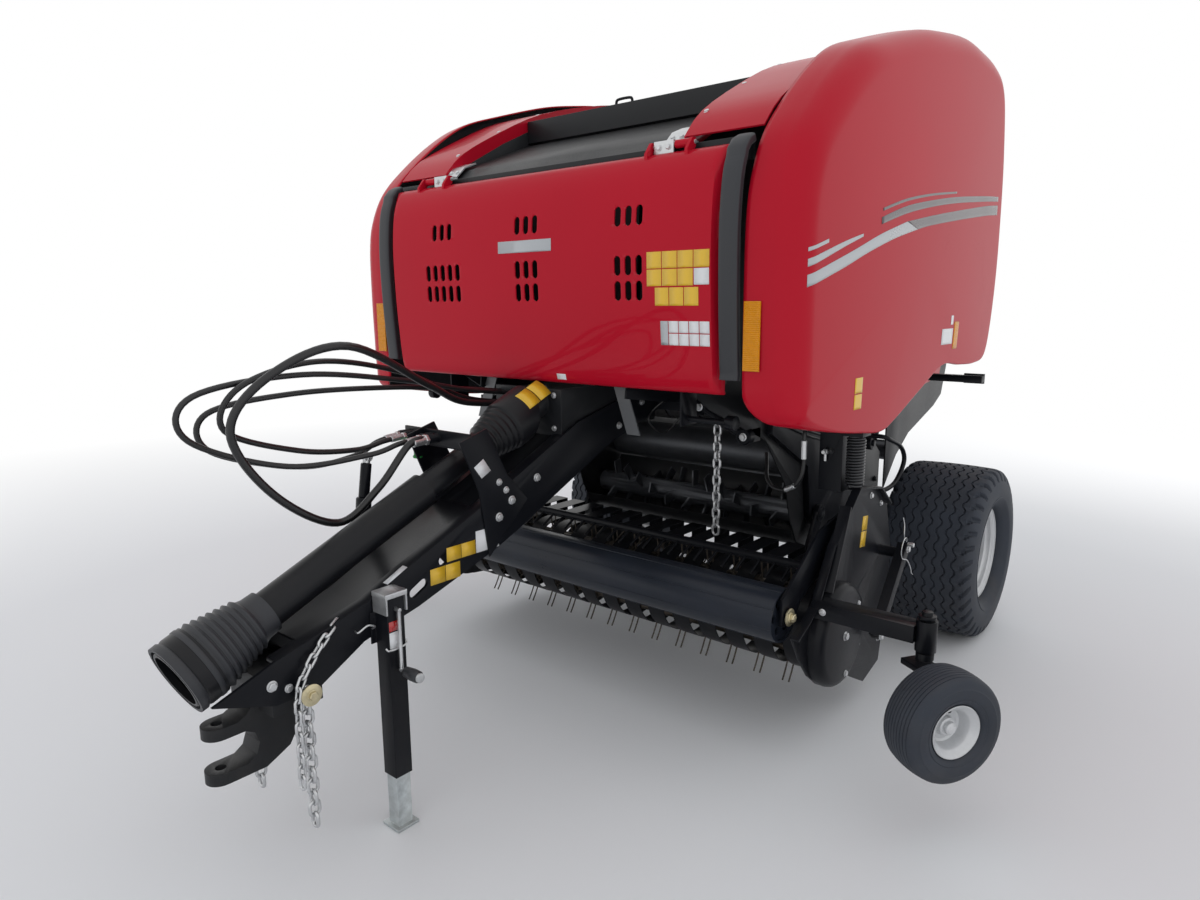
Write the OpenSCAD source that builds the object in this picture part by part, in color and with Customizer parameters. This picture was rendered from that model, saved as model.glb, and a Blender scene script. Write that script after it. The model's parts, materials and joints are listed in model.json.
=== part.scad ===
// Towed round baler with a wide tined pickup, parked on its wheels and its jack.
// Millimetres. +X is the machine's left side, the drawbar points to -Y, +Z is up.
// The origin lies on the ground under the middle of the whole machine.
// Sizes along Y in this file are counted from the axle, and from_axle() shifts them.

/* [Overall] */
// From the axle forward to the tip of the drive shaft cone
tongue_reach = 3490; // [3350:10:3700]
// From the axle back to the rear of the tailgate
tail_reach = 985; // [900:5:1100]

/* [Bale chamber] */
// Width between the chamber's side sheets
chamber_w = 1240; // [1160:10:1280]
// Thickness of the side sheets
sheet_t = 6; // [4:1:8]
// Height of the tailgate's hinge above the ground
gate_hinge_z = 2550; // [2520:5:2580]
// Distance of the tailgate's hinge ahead of the axle
gate_hinge_y = 150; // [140:5:170]
// Diameter of the chamber rollers
roller_d = 200; // [160:5:220]
// Width of one chamber belt
belt_w = 178; // [150:2:190]
// Thickness of a belt
belt_t = 8; // [6:1:10]

/* [Body panels] */
// Thickness of the moulded panels
panel_t = 6; // [4:1:8]
// Half the width of the hood
hood_half_w = 855; // [800:5:855]
// Height of the hood's lower edge
hood_low_z = 1403; // [1380:5:1450]
// Height of the hood's upper edge
hood_top_z = 2197; // [2150:5:2205]
// Distance from the middle to a side shield's outer face
shield_x = 1128; // [1110:2:1140]
// Distance from the middle to a side shield's inner edge
shield_in_x = 940; // [936:1:950]
// Width of a vent slot
vent_w = 22; // [14:1:24]
// Height of a vent slot
vent_h = 62; // [40:1:64]
// Distance between the middles of neighbouring vent slots
vent_pitch = 31; // [28:1:36]

/* [Wheels] */
// Outer diameter of the main tyres
tyre_d = 870; // [840:5:900]
// Width of the main tyres
tyre_w = 460; // [400:5:470]
// Diameter of the main rims' flanges
rim_d = 472; // [440:2:500]
// From the middle of the machine to the middle of a main tyre
track_half = 1030; // [1010:5:1040]
// Outer diameter of the gauge tyres
gauge_d = 370; // [340:5:390]
// Width of the gauge tyres
gauge_w = 155; // [130:5:165]
// Diameter of the gauge rims' flanges
gauge_rim_d = 180; // [160:2:200]
// Diameter of the wheels' spindles
spindle_d = 60; // [50:1:70]

/* [Pickup] */
// Half the width of the pickup between its end plates
pickup_half_w = 1030; // [980:5:1040]
// Thickness of the end plates
end_plate_t = 10; // [6:1:12]
// Radius of the circle that the tine tips run on
tine_r = 265; // [230:5:270]
// Diameter of a tine
tine_d = 9; // [6:1:10]
// Distance between neighbouring tines
tine_pitch = 132; // [100:2:160]
// Number of tine bars
tine_bars = 5; // [4:1:5]
// Width of one curved band between the tines
band_w = 84; // [60:2:96]
// Diameter of the windguard's front roller
crop_roller_d = 200; // [160:5:210]

/* [Drawbar] */
// Half the distance between the outer faces of the drawbar's side plates
drawbar_half_w = 140; // [130:2:150]
// Thickness of the drawbar's plates
drawbar_t = 12; // [8:1:16]
// Diameter of the hitch pin's hole
hitch_bore = 32; // [28:1:38]
// Outside width of the jack's square tube
jack_w = 64; // [60:1:70]
// Diameter of the drive shaft's guard tube
guard_d = 120; // [110:2:130]
// Largest diameter of the front cone
cone_d = 230; // [200:2:240]
// Diameter of the yoke's bore at the shaft's front end
yoke_bore = 35; // [30:1:38]

/* [Hidden] */

// The axle's place in the frame that has the middle of the machine at its origin
axle_y = (tongue_reach - tail_reach) / 2;
axle_z = tyre_d / 2;
clear = 5;
side_x = chamber_w / 2;
frame_t = 30;
gate_x = side_x + sheet_t + frame_t + clear;
gate_t = 8;
hinge_pin_d = 40;
pin_play = 0.6;
// A chain's wire, the width inside a link, its length, and the bolt that it hangs on
chain_wire = 11;
chain_inside = 20;
chain_link = 58;
chain_pin_d = chain_inside - pin_play;
red = "#b3121d";
black = "#1c1d1f";
dark = "#2b2c2e";
rubber = "#17181a";
zinc = "#b9bcc0";
white = "#c9ccd0";

// Rows of a smooth curve through the points, n steps to each stretch
function spline_at(p, i, u) =
    let (a = p[max(i - 1, 0)], b = p[i], c = p[i + 1], d = p[min(i + 2, len(p) - 1)])
    0.5 * (2 * b + (c - a) * u + (2 * a - 5 * b + 4 * c - d) * u * u
        + (3 * b - a - 3 * c + d) * u * u * u);
function spline(p, n) = concat(
    [for (i = [0:len(p) - 2], k = [0:n - 1]) spline_at(p, i, k / n)], [p[len(p) - 1]]);
function unit(v) = v / norm(v);

module from_axle() {
    translate([0, axle_y, 0]) children();
}

// A flat plate cut from an outline given as [y, z] points, its inner face at x
module side_plate(x, t, outline) {
    translate([x, 0, 0])
        rotate([90, 0, 90])
            linear_extrude(height = t) polygon(outline);
}

module both_sides() {
    children();
    mirror([1, 0, 0]) children();
}

module rod_x(x0, x1, y, z, d, sides = 48) {
    translate([x0, y, z])
        rotate([0, 90, 0]) cylinder(d = d, h = x1 - x0, $fn = sides);
}

// A steel tube across the machine, open at both ends
tube_wall = 8;
module tube_x(half, p, d) {
    difference() {
        rod_x(-half, half, p[0], p[1], d);
        rod_x(-half - 1, half + 1, p[0], p[1], d - 2 * tube_wall);
    }
}

// A square tube between two points in the side view, w across, centred on x
module strut(a, b, w, x, wx) {
    run = b - a;
    translate([x - wx / 2, a[0], a[1]])
        rotate([atan2(run[1], run[0]), 0, 0])
            translate([0, 0, -w / 2]) cube([wx, norm(run), w]);
}

// Side shields

// The shield's outline as [y, z] points, from its lower rear corner round to the front
shield_outline = concat(
    [[40, 1430], [130, 1580], [185, 1840], [195, 2150], [190, 2400], [150, 2640], [60, 2760],
        [-80, 2808], [-260, 2822], [-440, 2823], [-660, 2792], [-930, 2738], [-1270, 2638],
        [-1480, 2566], [-1640, 2470], [-1800, 2340], [-1920, 2215], [-1985, 2080], [-2008, 1950],
        [-2012, 1750], [-2010, 1560], [-2004, 1400], [-1975, 1322], [-1900, 1296]],
    [[-1700, 1262], [-1470, 1230], [-1280, 1212], [-1150, 1240], [-900, 1325], [-600, 1420],
        [-350, 1408], [-120, 1402]]);
shield_mid = [-950, 1850];
// Share of the full rim width at each outline point: the lower edge has no rim
shield_rim = concat([0.15, 0.35, 0.5, 0.6, 0.8, 1, 1, 1, 1, 1, 1, 1, 1, 1, 1, 1, 1, 1, 1, 1, 1, 1,
    0.7, 0.3],
    [0.08, 0.08, 0.08, 0.08, 0.08, 0.08, 0.08, 0.08]);
shield_round = 150;
shield_steps = [0, 0.2, 0.38, 0.55, 0.7, 0.82, 0.92, 1];
shield_flat = [0.25, 0.6];
// The same outline and rim shares on a smooth closed curve
outline_steps = 2;
function loop_at(p, i, u) =
    let (n = len(p)) spline_at([for (k = [-1:2]) p[(i + k + n) % n]], 1, u);
function loop_line(p) = [for (i = [0:len(p) - 1], k = [0:outline_steps - 1])
    loop_at(p, i, k / outline_steps)];
shield_line = loop_line(shield_outline);
rim_share = [for (i = [0:len(shield_rim) - 1], k = [0:outline_steps - 1])
    let (u = k / outline_steps) shield_rim[i] * (1 - u) + shield_rim[(i + 1) % len(shield_rim)] * u];

// Outline point i pulled inward by d
function pulled(i, d) =
    let (n = len(shield_line), a = shield_line[(i + n - 1) % n],
        b = shield_line[(i + 1) % n], t = unit(b - a), p = shield_line[i % n])
    p + [-t[1], t[0]] * d;
// One row of the shield's skin, from its inner rim to the middle of its side
function shield_row(i, t) =
    let (rim = (shield_x - shield_in_x) * rim_share[i % len(rim_share)],
        depth = shield_round * rim_share[i % len(rim_share)],
        last = pulled(i, depth + t))
    concat(
        [for (s = shield_steps)
            let (q = pulled(i, t + depth * (1 - sqrt(1 - pow(s, 2.6)))))
            [shield_x - t - rim * pow(1 - s, 0.8), q[0], q[1]]],
        [for (s = shield_flat)
            let (q = last * (1 - s) + shield_mid * s)
            [shield_x - t + 7 * s, q[0], q[1]]]);
function shield_grid(t) = [for (i = [0:len(shield_line)]) shield_row(i, t)];

module shield_body() {
    outer = shield_grid(0);
    inner = shield_grid(panel_t);
    n = len(shield_line);
    cols = len(outer[0]);
    rows_n = n;
    skin = rows_n * cols;
    points = concat([for (i = [0:n - 1], p = outer[i]) p], [for (i = [0:n - 1], p = inner[i]) p],
        [[shield_x + 9, shield_mid[0], shield_mid[1]],
            [shield_x + 9 - panel_t, shield_mid[0], shield_mid[1]]]);
    function at(r, c, s) = s * skin + (r % n) * cols + c;
    faces = concat(
        [for (r = [0:n - 1], c = [0:cols - 2])
            each [[at(r, c, 0), at(r, c + 1, 0), at(r + 1, c + 1, 0)],
                [at(r, c, 0), at(r + 1, c + 1, 0), at(r + 1, c, 0)],
                [at(r, c, 1), at(r + 1, c + 1, 1), at(r, c + 1, 1)],
                [at(r, c, 1), at(r + 1, c, 1), at(r + 1, c + 1, 1)]]],
        [for (r = [0:n - 1])
            each [[at(r, cols - 1, 0), 2 * skin, at(r + 1, cols - 1, 0)],
                [at(r, cols - 1, 1), at(r + 1, cols - 1, 1), 2 * skin + 1],
                [at(r, 0, 0), at(r + 1, 0, 0), at(r + 1, 0, 1)],
                [at(r, 0, 0), at(r + 1, 0, 1), at(r, 0, 1)]]]);
    polyhedron(points, faces, convexity = 8);
}

module shield_l() {
    color(red) from_axle() {
        shield_body();
        shield_tab();
    }
}

module shield_r() {
    color(red) from_axle() mirror([1, 0, 0]) {
        shield_body();
        shield_tab();
    }
}

module reflector_body() {
    translate([shield_in_x + 4, -2018.4, 1484]) cube([60, 6, 221]);
}

module reflectors_l() {
    color("#e58a12") from_axle() reflector_body();
}

module reflectors_r() {
    color("#e58a12") from_axle() mirror([1, 0, 0]) reflector_body();
}

// Hood

hood_face_y = -2006;
strip_t = 30;
hood_hinge = [-1940, 2222];
// The hood's skin in the side view, [y, z] from its lower lip up to the hinge
hood_line = spline([[-1950, hood_low_z], [hood_face_y + 4, hood_low_z + 12], [-2024, 1600], [-2034, 1800],
    [-2034, 1960], [-2018, 2100], [-1984, hood_top_z - 20], [-1950, hood_top_z]], 3);
function offset_line(line, t) = [for (i = [0:len(line) - 1])
    let (a = line[max(i - 1, 0)], b = line[min(i + 1, len(line) - 1)], d = unit(b - a))
    line[i] + [d[1], -d[0]] * t];
// Vent groups: [middle x, middle z, slots across, rows]
vent_groups = [[495, 1994, 3, 1], [0, 1994, 3, 1], [-495, 1994, 3, 1],
    [495, 1785, 3, 2], [0, 1785, 3, 2], [-495, 1785, 5, 2]];
vent_row = 82;

module vent_slot(x, z) {
    straight = vent_h - vent_w;
    translate([x, hood_face_y - 60, z]) rotate([-90, 0, 0]) {
        for (s = [-1, 1]) translate([0, s * straight / 2, 0]) cylinder(d = vent_w, h = 90, $fn = 24);
        translate([-vent_w / 2, -straight / 2, 0]) cube([vent_w, straight, 90]);
    }
}

module hood() {
    back = offset_line(hood_line, -panel_t);
    n = len(back);
    outline = concat(hood_line, [for (i = [0:n - 1]) back[n - 1 - i]]);
    color(red) from_axle() difference() {
        side_plate(-hood_half_w, 2 * hood_half_w, outline);
        for (g = vent_groups, i = [0:g[2] - 1], r = [0:g[3] - 1])
            vent_slot(g[0] + (i - (g[2] - 1) / 2) * vent_pitch, g[1] + (r - (g[3] - 1) / 2) * vent_row);
    }
    // ears on the hinge's pin
    color(red) from_axle() both_sides() difference() {
        for (x = [hood_hinge_x[0] - 18, hood_hinge_x[1] + 6])
            side_plate(x, 12, [[-1984, hood_top_z - 24], [-1950, hood_top_z - 6], [hood_hinge[0] + 5,
                hood_hinge[1] - 14],
                [hood_hinge[0] + 5, hood_hinge[1] + 13], [hood_hinge[0] - 14, hood_hinge[1] + 13],
                    [-1984, hood_top_z]]);
        rod_x(hood_hinge_x[0] - 20, hood_hinge_x[1] + 20, hood_hinge[0], hood_hinge[1],
            hood_pin_d + pin_play, 24);
    }
}

// Rubber strips beside the hood, from its lower lip up to the header
module edge_strips() {
    line = [for (i = [3:len(hood_line) - 4]) hood_line[i]];
    n = len(line);
    foot = header[0];
    outline = concat([for (p = line) p + [2, 0]], [[foot[0] - 62, foot[1] + 44], [foot[0],
        foot[1] + 44], foot],
        [for (i = [0:n - 1]) line[n - 1 - i] + [strip_t, 0]]);
    color(rubber) from_axle() both_sides()
        side_plate(hood_half_w + clear, panel_edge_x - hood_half_w - clear, outline);
}

hood_hinge_x = [545, 685];
hood_pin_d = 14;
module hood_hinges() {
    color(zinc) from_axle() both_sides() {
        translate([hood_hinge_x[0], hood_hinge[0] - 7, header[1][1]])
            cube([hood_hinge_x[1] - hood_hinge_x[0], header[1][0] - hood_hinge[0] + 7, 10]);
        rod_x(hood_hinge_x[0] - 20, hood_hinge_x[1] + 20, hood_hinge[0], hood_hinge[1], hood_pin_d, 24);
    }
}

// Fixed frame

top_beam = [-1330, 2500];
header = [[-1920, 2150], [-1890, 2222]];
top_sheet_t = 4;
module top_frame() {
    color(dark) from_axle() {
        // cross beam that the top sheet bolts to
        translate([-side_x, top_beam[0] - 50, top_beam[1] - 50]) cube([chamber_w, 100, 100]);
        // header behind the hood's upper edge
        translate([-shield_in_x + 40, header[0][0], header[0][1]])
            cube([2 * shield_in_x - 80, header[1][0] - header[0][0], header[1][1] - header[0][1]]);
        // sloping sheet from the header up to the cross beam
        side_plate(-side_x, chamber_w,
            [[header[1][0], header[1][1]], [-1840, 2268], [top_beam[0] - 50, 2440],
                [top_beam[0] - 50, 2440 - top_sheet_t], [-1838, 2268 - top_sheet_t], [header[1][0],
                    header[1][1] - 6]]);
        // rear cross tube and the gate's hinge pins
        translate([-side_x, -gate_hinge_y - 40, gate_hinge_z - 40]) cube([chamber_w, 80, 80]);
        both_sides() rod_x(side_x + sheet_t, gate_x + gate_t + 6, -gate_hinge_y, gate_hinge_z,
            hinge_pin_d);
    }
}

arch_line = spline([[-1886, 2250], [-1780, 2350], [-1540, 2480], [-1280, 2595], [-930, 2690], [-620,
    2745],
    [-240, 2775]], 3);
arch_wall = [[-240, 2700], [-900, 2600], [-1300, 2480], [-1600, 2350], [-1886, 2200]];
panel_edge_x = shield_in_x - panel_t - clear;
// Hinges of the side shields: a pin along Y between two lugs, and a tab on the shield
shield_hinge = [952, 2782];
shield_pin_d = 12;
hinge_places = [-450, -300];
lug_t = 12;
tab_w = 50;
module along_y(x, y0, y1, z, d) {
    translate([x, y0, z]) rotate([-90, 0, 0]) cylinder(d = d, h = y1 - y0, $fn = 24);
}

module shield_tab() {
    for (y = hinge_places) difference() {
        translate([shield_hinge[0] - 11, y - tab_w / 2, shield_hinge[1] - 11]) cube([34, tab_w, 46]);
        along_y(shield_hinge[0], y - 50, y + 50, shield_hinge[1], shield_pin_d + pin_play);
    }
}

module shield_hinges() {
    reach = tab_w / 2 + clear + lug_t;
    color(zinc) from_axle() both_sides() for (y = hinge_places) {
        along_y(shield_hinge[0], y - reach, y + reach, shield_hinge[1], shield_pin_d);
        for (s = [-1, 1]) translate([panel_edge_x, y + s * (reach - lug_t / 2) - lug_t / 2, 2735])
            cube([shield_hinge[0] + 8 - panel_edge_x, lug_t, shield_hinge[1] + 4 - 2735]);
    }
}

module inner_panels() {
    back = offset_line(arch_line, -panel_t);
    n = len(back);
    outline = concat(arch_line, [for (i = [0:n - 1]) back[n - 1 - i]]);
    color(red) from_axle() both_sides() {
        side_plate(side_x + sheet_t, panel_edge_x - side_x - sheet_t, outline);
        side_plate(side_x + sheet_t, panel_t, concat(back, arch_wall));
    }
}

module front_beam() {
    translate([-1000, -1360, 1230]) cube([2000, 110, 120]);
}

module chamber_sides() {
    outline = [[-25, 700], [-25, 2480], [-120, 2640], [-300, 2690], [-930, 2640], [-1280, 2550],
        [-1540, 2430],
        [-1780, 2300], [-1890, 2222], [-1890, 2150], [-1930, 2150], [-1930, 1440], [-1700, 1300],
            [-1250, 1120],
        [-1060, 900], [-1000, 720], [-930, 600], [-830, 560], [-700, 580], [-560, 640], [-300, 660]];
    color(dark) from_axle() difference() {
        both_sides() side_plate(side_x, sheet_t, outline);
        front_beam();
        rod_x(-side_x - sheet_t - 1, side_x + sheet_t + 1, feed_axis[0], feed_axis[1],
            feed_shaft_d + pin_play);
    }
}

floor_roller = [-640, 940];
front_roller = [-700, 1190];
upper_roller = [-640, 2330];
module chamber_rollers() {
    color("#3a3b3d") from_axle()
        for (p = [floor_roller, front_roller, upper_roller, [-350, 860]])
            tube_x(side_x, p, roller_d);
}

// The outline that passes round a row of two or three equal circles, in steps of an arc
function arc(c, r, from, to, steps = 10) = [for (k = [0:steps])
    let (a = from + (to - from) * k / steps)
    c + r / cos((to - from) / steps / 2) * [cos(a), sin(a)]];
function heading(a, b) = atan2(b[1] - a[1], b[0] - a[0]);
function round_row(c, r) =
    let (n = len(c), h0 = heading(c[0], c[1]), h1 = heading(c[n - 2], c[n - 1]), turn = h1 - h0)
    concat(arc(c[0], r, h0 + 270, h0 + 90),
        n == 2 ? [] : [c[1] + r / cos(turn / 2) * [cos(h0 + turn / 2 + 90), sin(h0 + turn / 2 + 90)]],
        arc(c[n - 1], r, h1 + 90, h1 - 90),
        n == 2 ? [] : arc(c[1], r, h1 - 90, h0 - 90, 4));

belt_count = 6;
module belts(centres, d) {
    pitch = chamber_w / belt_count;
    for (i = [0:belt_count - 1])
        translate([(i - (belt_count - 1) / 2) * pitch - belt_w / 2, 0, 0])
            rotate([90, 0, 90]) linear_extrude(height = belt_w) difference() {
                polygon(round_row(centres, d / 2 + belt_t));
                polygon(round_row(centres, d / 2 + 0.3));
            }
}

module front_belts() {
    color(rubber) from_axle() belts([front_roller, upper_roller], roller_d);
}

frame_x = side_x + sheet_t + frame_t;
lift_chain = [436, -1330, 1205];
// Lift springs stand on the pickup's end plates, beside the frame's outer legs
spring_x = pickup_half_w + end_plate_t / 2;
spring_y = -1286;
spring_d = 74;
spring_wire = 11;
spring_turns = 10;
spring_foot = 990;
spring_top = 1190;
leg_w = 95;
leg_x = spring_x - spring_d / 2 - 12 - leg_w;
catch = [-1850, 1285];
catch_x = side_x + 175;
module chassis() {
    color(black) from_axle() {
        both_sides() {
            // lower side frame down to the axle
            side_plate(side_x + sheet_t, frame_t, [[-90, 500], [110, 500], [110, 560], [-30, 690],
                [-30, 900], [-300, 1100],
                [-700, 1230], [-1250, 1330], [-1250, 1150], [-900, 960], [-860, 720], [-820, 665],
                    [-770, 665],
                [-560, 640], [-300, 540]]);
            // outer leg under the side shield
            translate([leg_x, -1300, 960]) cube([leg_w, 80, 300]);
            translate([leg_x, -1300, 1200]) cube([leg_w, 500, 70]);
            translate([frame_x, -870, 1200]) cube([leg_x - frame_x, 70, 70]);
            translate([leg_x + leg_w, spring_y - 40, spring_top])
                cube([spring_x + 40 - leg_x - leg_w, 80, 20]);
            // strap that the hood's lower edge rests near, and the side shield's catch
            strut([-1360, 1290], [-1925, 1368], 40, 400, 8);
            side_plate(side_x + sheet_t, 8, [[-1900, 1440], [-1800, 1400], [-1800, 1262],
                [-1900, 1262]]);
            rod_x(side_x + sheet_t + 8, catch_x, catch[0], catch[1], 22, 24);
            rod_x(catch_x, catch_x + 34, catch[0], catch[1], 52, 32);
        }
        // front cross beam, and the lug that the pickup's lift chain hangs on
        front_beam();
        translate([lift_chain[0] - 18, lift_chain[1] - 15, lift_chain[2] - 15]) cube([6, 30, 42]);
        rod_x(lift_chain[0] - 12, lift_chain[0] + 12, lift_chain[1], lift_chain[2], chain_pin_d, 32);
        // pins of the gate cylinders and of the pickup
        both_sides() {
            rod_x(frame_x, cyl_x + 30, barrel_pin[0], barrel_pin[1], 30);
            rod_x(frame_x, pickup_arm_x + 26, pickup_hinge[0], pickup_hinge[1], 40);
        }
    }
}

module axle_beam() {
    color(black) from_axle() {
        translate([-760, -65, axle_z - 65]) cube([1520, 130, 130]);
        both_sides() {
            rod_x(760, track_half + 60, 0, axle_z, spindle_d);
        }
    }
}

feed_axis = [-830, 715];
feed_r = 135;
feed_shaft_d = 50;
feed_gap = 12;
// Curved pan under the feed rotor, open to the front and to the rear
module feed_housing() {
    r = feed_r + feed_gap;
    color(black) from_axle() translate([-side_x, feed_axis[0], feed_axis[1]])
        rotate([90, 0, 90]) linear_extrude(height = chamber_w) difference() {
            circle(r = r + 6, $fn = 64);
            circle(r = r, $fn = 64);
            polygon([[-r - 20, -60], [0, 0], [r + 20, -40], [r + 20, r + 20], [-r - 20, r + 20]]);
        }
}

module feed_rotor() {
    color(dark) from_axle() {
        rod_x(-side_x + 20, side_x - 20, feed_axis[0], feed_axis[1], 110);
        rod_x(-side_x - sheet_t, side_x + sheet_t, feed_axis[0], feed_axis[1], feed_shaft_d);
        for (i = [-5:5], a = [0, 120, 240])
            translate([i * 100, feed_axis[0], feed_axis[1]])
                rotate([a + i * 22, 0, 0]) translate([-4, -25, 40]) cube([8, 50, feed_r - 45]);
    }
}

// Drawbar and drive

box_half_w = drawbar_half_w - drawbar_t;
// The part ahead of the hose bulkhead stretches with the tongue's reach
nose_y = -1985;
nose_run = 1505;
function nose(y) = y > nose_y ? y : nose_y + (y - nose_y) * (tongue_reach + nose_y) / nose_run;
function nose_line(p) = [for (q = p) [nose(q[0]), q[1]]];
hitch_pin_y = 145 - tongue_reach;
drawbar_line = nose_line([[-3411, 625], [-3222, 694], [-2907, 778], [-2782, 838], [-2424, 989],
    [-2289, 1052], [-1897, 1235], [-1500, 1330], [-1360, 1345], [-1360, 1230], [-1700, 1120],
    [-2246, 869], [-2362, 821], [-2713, 708], [-2927, 657], [-3091, 565], [-3230, 560]]);
cover_t = 12;
flange_w = 42;
drawbar_top = nose_line([[-3222, 694], [-2907, 778], [-2782, 838], [-2424, 989], [-2289, 1052],
    [nose_y, 1194]]);
cover_top = nose_line([[-3130, 716], [-2907, 776], [-2782, 836], [-2424, 987]]);
function band_under(line, t) = concat(line,
    [for (i = [0:len(line) - 1]) line[len(line) - 1 - i] - [0, t]]);
// Oval slots in the side plates: [middle y, middle z]
oval_slots = nose_line([[-2711, 770], [-2585, 850]]);
slot_d = 34;
slot_run = 46;
slot_tilt = 27;
module oval_slot(c) {
    translate([0, c[0], c[1]]) rotate([slot_tilt, 0, 0]) {
        for (s = [-1, 1]) rod_x(box_half_w - 1, drawbar_half_w + 1, s * slot_run / 2, 0, slot_d);
        translate([box_half_w - 1, -slot_run / 2, -slot_d / 2])
            cube([drawbar_t + 2, slot_run, slot_d]);
    }
}

module drawbar() {
    color(black) from_axle() {
        both_sides() {
            difference() {
                side_plate(box_half_w, drawbar_t, drawbar_line);
                for (c = oval_slots) oval_slot(c);
            }
            // flange bent inwards along the plate's top edge
            side_plate(box_half_w - flange_w, flange_w,
                band_under(drawbar_top, cover_t));
        }
        // bent cover between the two flanges
        side_plate(-box_half_w + flange_w, 2 * (box_half_w - flange_w),
            band_under(cover_top, cover_t - 4));
    }
}

hitch_low = 330;
hitch_high = 506;
lug_h = 36;
lug_w = 90;
// The clevis in the side view, counted from the pin: two lugs, a round throat and the neck
clevis = [[-46, hitch_low], [118, hitch_low], [196, 368], [238, 436], [256, 520], [262, 612],
    [116, 612], [104, 560], [66, 518], [40, hitch_high], [-46, hitch_high],
    [-46, hitch_high - lug_h], [62, hitch_high - lug_h], [90, 454], [102, 418], [90, 384],
    [62, hitch_low + lug_h], [-46, hitch_low + lug_h]];
module hitch() {
    color(black) from_axle() difference() {
        union() {
            intersection() {
                side_plate(-lug_w / 2, lug_w, [for (q = clevis) q + [hitch_pin_y, 0]]);
                union() {
                    translate([0, hitch_pin_y, 300]) cylinder(d = lug_w - 1, h = 340);
                    translate([-lug_w / 2 - 1, hitch_pin_y, 300]) cube([lug_w + 2, 300, 340]);
                }
            }
            // head that the neck is bolted to, between the side plates
            translate([-box_half_w, hitch_pin_y + 108, 520]) cube([2 * box_half_w, 160, 100]);
        }
        translate([0, hitch_pin_y, 300]) cylinder(d = hitch_bore, h = 260);
    }
    // bolts with wide heads that the safety chains hang on
    color(black) from_axle() both_sides() {
        rod_x(drawbar_half_w, chain_x + 23, chain_pin[0], chain_pin[1], chain_pin_d);
        rod_x(chain_x + 23, chain_x + 29, chain_pin[0], chain_pin[1], 60);
    }
}

// Upright plates at the drawbar's sides, and a rack across them that the hoses plug into
rack_y = nose(-2440);
rack_z = 1222;
rack_t = 10;
socket_d = 34;
socket_len = 46;
hose_sockets = [-232, -195, -104, -66];
module hose_holder() {
    color(black) from_axle() {
        both_sides() side_plate(drawbar_half_w, 8, nose_line([[-2518, 1235], [-2393, 1270],
            [-2300, 1090], [-2200, 980], [-2397, 801], [-2435, 1046]]));
        translate([-258, rack_y, rack_z - 34]) cube([256 + drawbar_half_w + 2, rack_t, 62]);
        for (x = hose_sockets) {
            translate([x, rack_y - socket_len, rack_z]) rotate([-90, 0, 0])
                cylinder(d = socket_d, h = socket_len, $fn = 24);
            translate([x, rack_y + rack_t, rack_z]) rotate([-90, 0, 0])
                cylinder(d = socket_d - 8, h = 34, $fn = 24);
        }
    }
}

shaft_front = [101.4 - tongue_reach, 700];
shaft_rear = [-2090, 1270];
shaft_tilt = atan2(shaft_rear[1] - shaft_front[1], shaft_rear[0] - shaft_front[0]);
shaft_len = norm(shaft_rear - shaft_front);
module along_shaft(s) {
    translate([0, shaft_front[0], shaft_front[1]])
        rotate([shaft_tilt - 90, 0, 0]) translate([0, 0, s]) children();
}

module drive_shaft() {
    color("#202124") from_axle() difference() {
        union() {
            along_shaft(120) cylinder(d = guard_d, h = shaft_len * 0.55);
            along_shaft(120 + shaft_len * 0.55) cylinder(d = guard_d - 26, h = shaft_len * 0.45 - 160);
            along_shaft(-40) cylinder(d = 70, h = 160);
        }
        along_shaft(-41) cylinder(d = yoke_bore, h = 80);
    }
}

// Guard cones turned about the shaft, [distance from the mouth, radius] along the outside
cone_len = 300;
cone_r = cone_d / 2;
bellows = 7;
function ribs(s0, s1, r0, r1, n, h) = [for (i = [0:2 * n])
    let (u = i / (2 * n)) [r0 + (r1 - r0) * u + (i % 2 == 0 ? 0 : h), s0 + (s1 - s0) * u]];
module cone_body() {
    rotate_extrude($fn = 64) polygon(concat(
        [[cone_r - 12, 0], [cone_r - 1, 0], [cone_r, 20], [cone_r - 5, 26], [cone_r - 5, 60],
            [cone_r + 1, 66], [cone_r + 1, 78], [cone_r - 6, 84]],
        ribs(96, 246, cone_r - 7, cone_r - 38, bellows, 9),
        [[guard_d / 2 + 12, 262], [guard_d / 2 + 10, cone_len], [guard_d / 2 + 0.3, cone_len],
            [guard_d / 2 + 0.3, 262], [guard_d / 2 + 10, 246], [cone_r - 16, 84]]));
}

module shaft_cones() {
    color(rubber) from_axle() along_shaft(-60) cone_body();
}

bulkhead_y = -1985;
module gearbox() {
    color(dark) from_axle() {
        translate([-box_half_w, bulkhead_y, 1185]) cube([2 * box_half_w, 620, 185]);
        // plate at the side where the hoses come through
        translate([-240, bulkhead_y, 1240]) cube([240 - box_half_w, 25, 130]);
        difference() {
            along_shaft(shaft_len) cylinder(d = 120, h = 180);
            translate([-100, bulkhead_y + 20, 1100]) cube([200, 200, 400]);
        }
        along_shaft(shaft_len - 40) cylinder(d = 60, h = 60);
    }
}

rear_guard_r = 100;
module gearbox_shield() {
    thin_r = guard_d / 2 - 13 + 0.3;
    color(rubber) from_axle() difference() {
        along_shaft(shaft_len - 250) rotate_extrude($fn = 64) polygon(concat(
            [[thin_r, 0], [thin_r + 9, 0], [thin_r + 10, 24]],
            ribs(34, 150, thin_r + 14, rear_guard_r - 12, 5, 8),
            [[rear_guard_r - 4, 156], [rear_guard_r, 166], [rear_guard_r, 380], [60.3, 380],
                [60.3, 246], [rear_guard_r - 10, 240], [rear_guard_r - 14, 166], [thin_r, 40]]));
        translate([-120, -2075, 1100]) cube([240, 200, 400]);
    }
}

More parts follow.
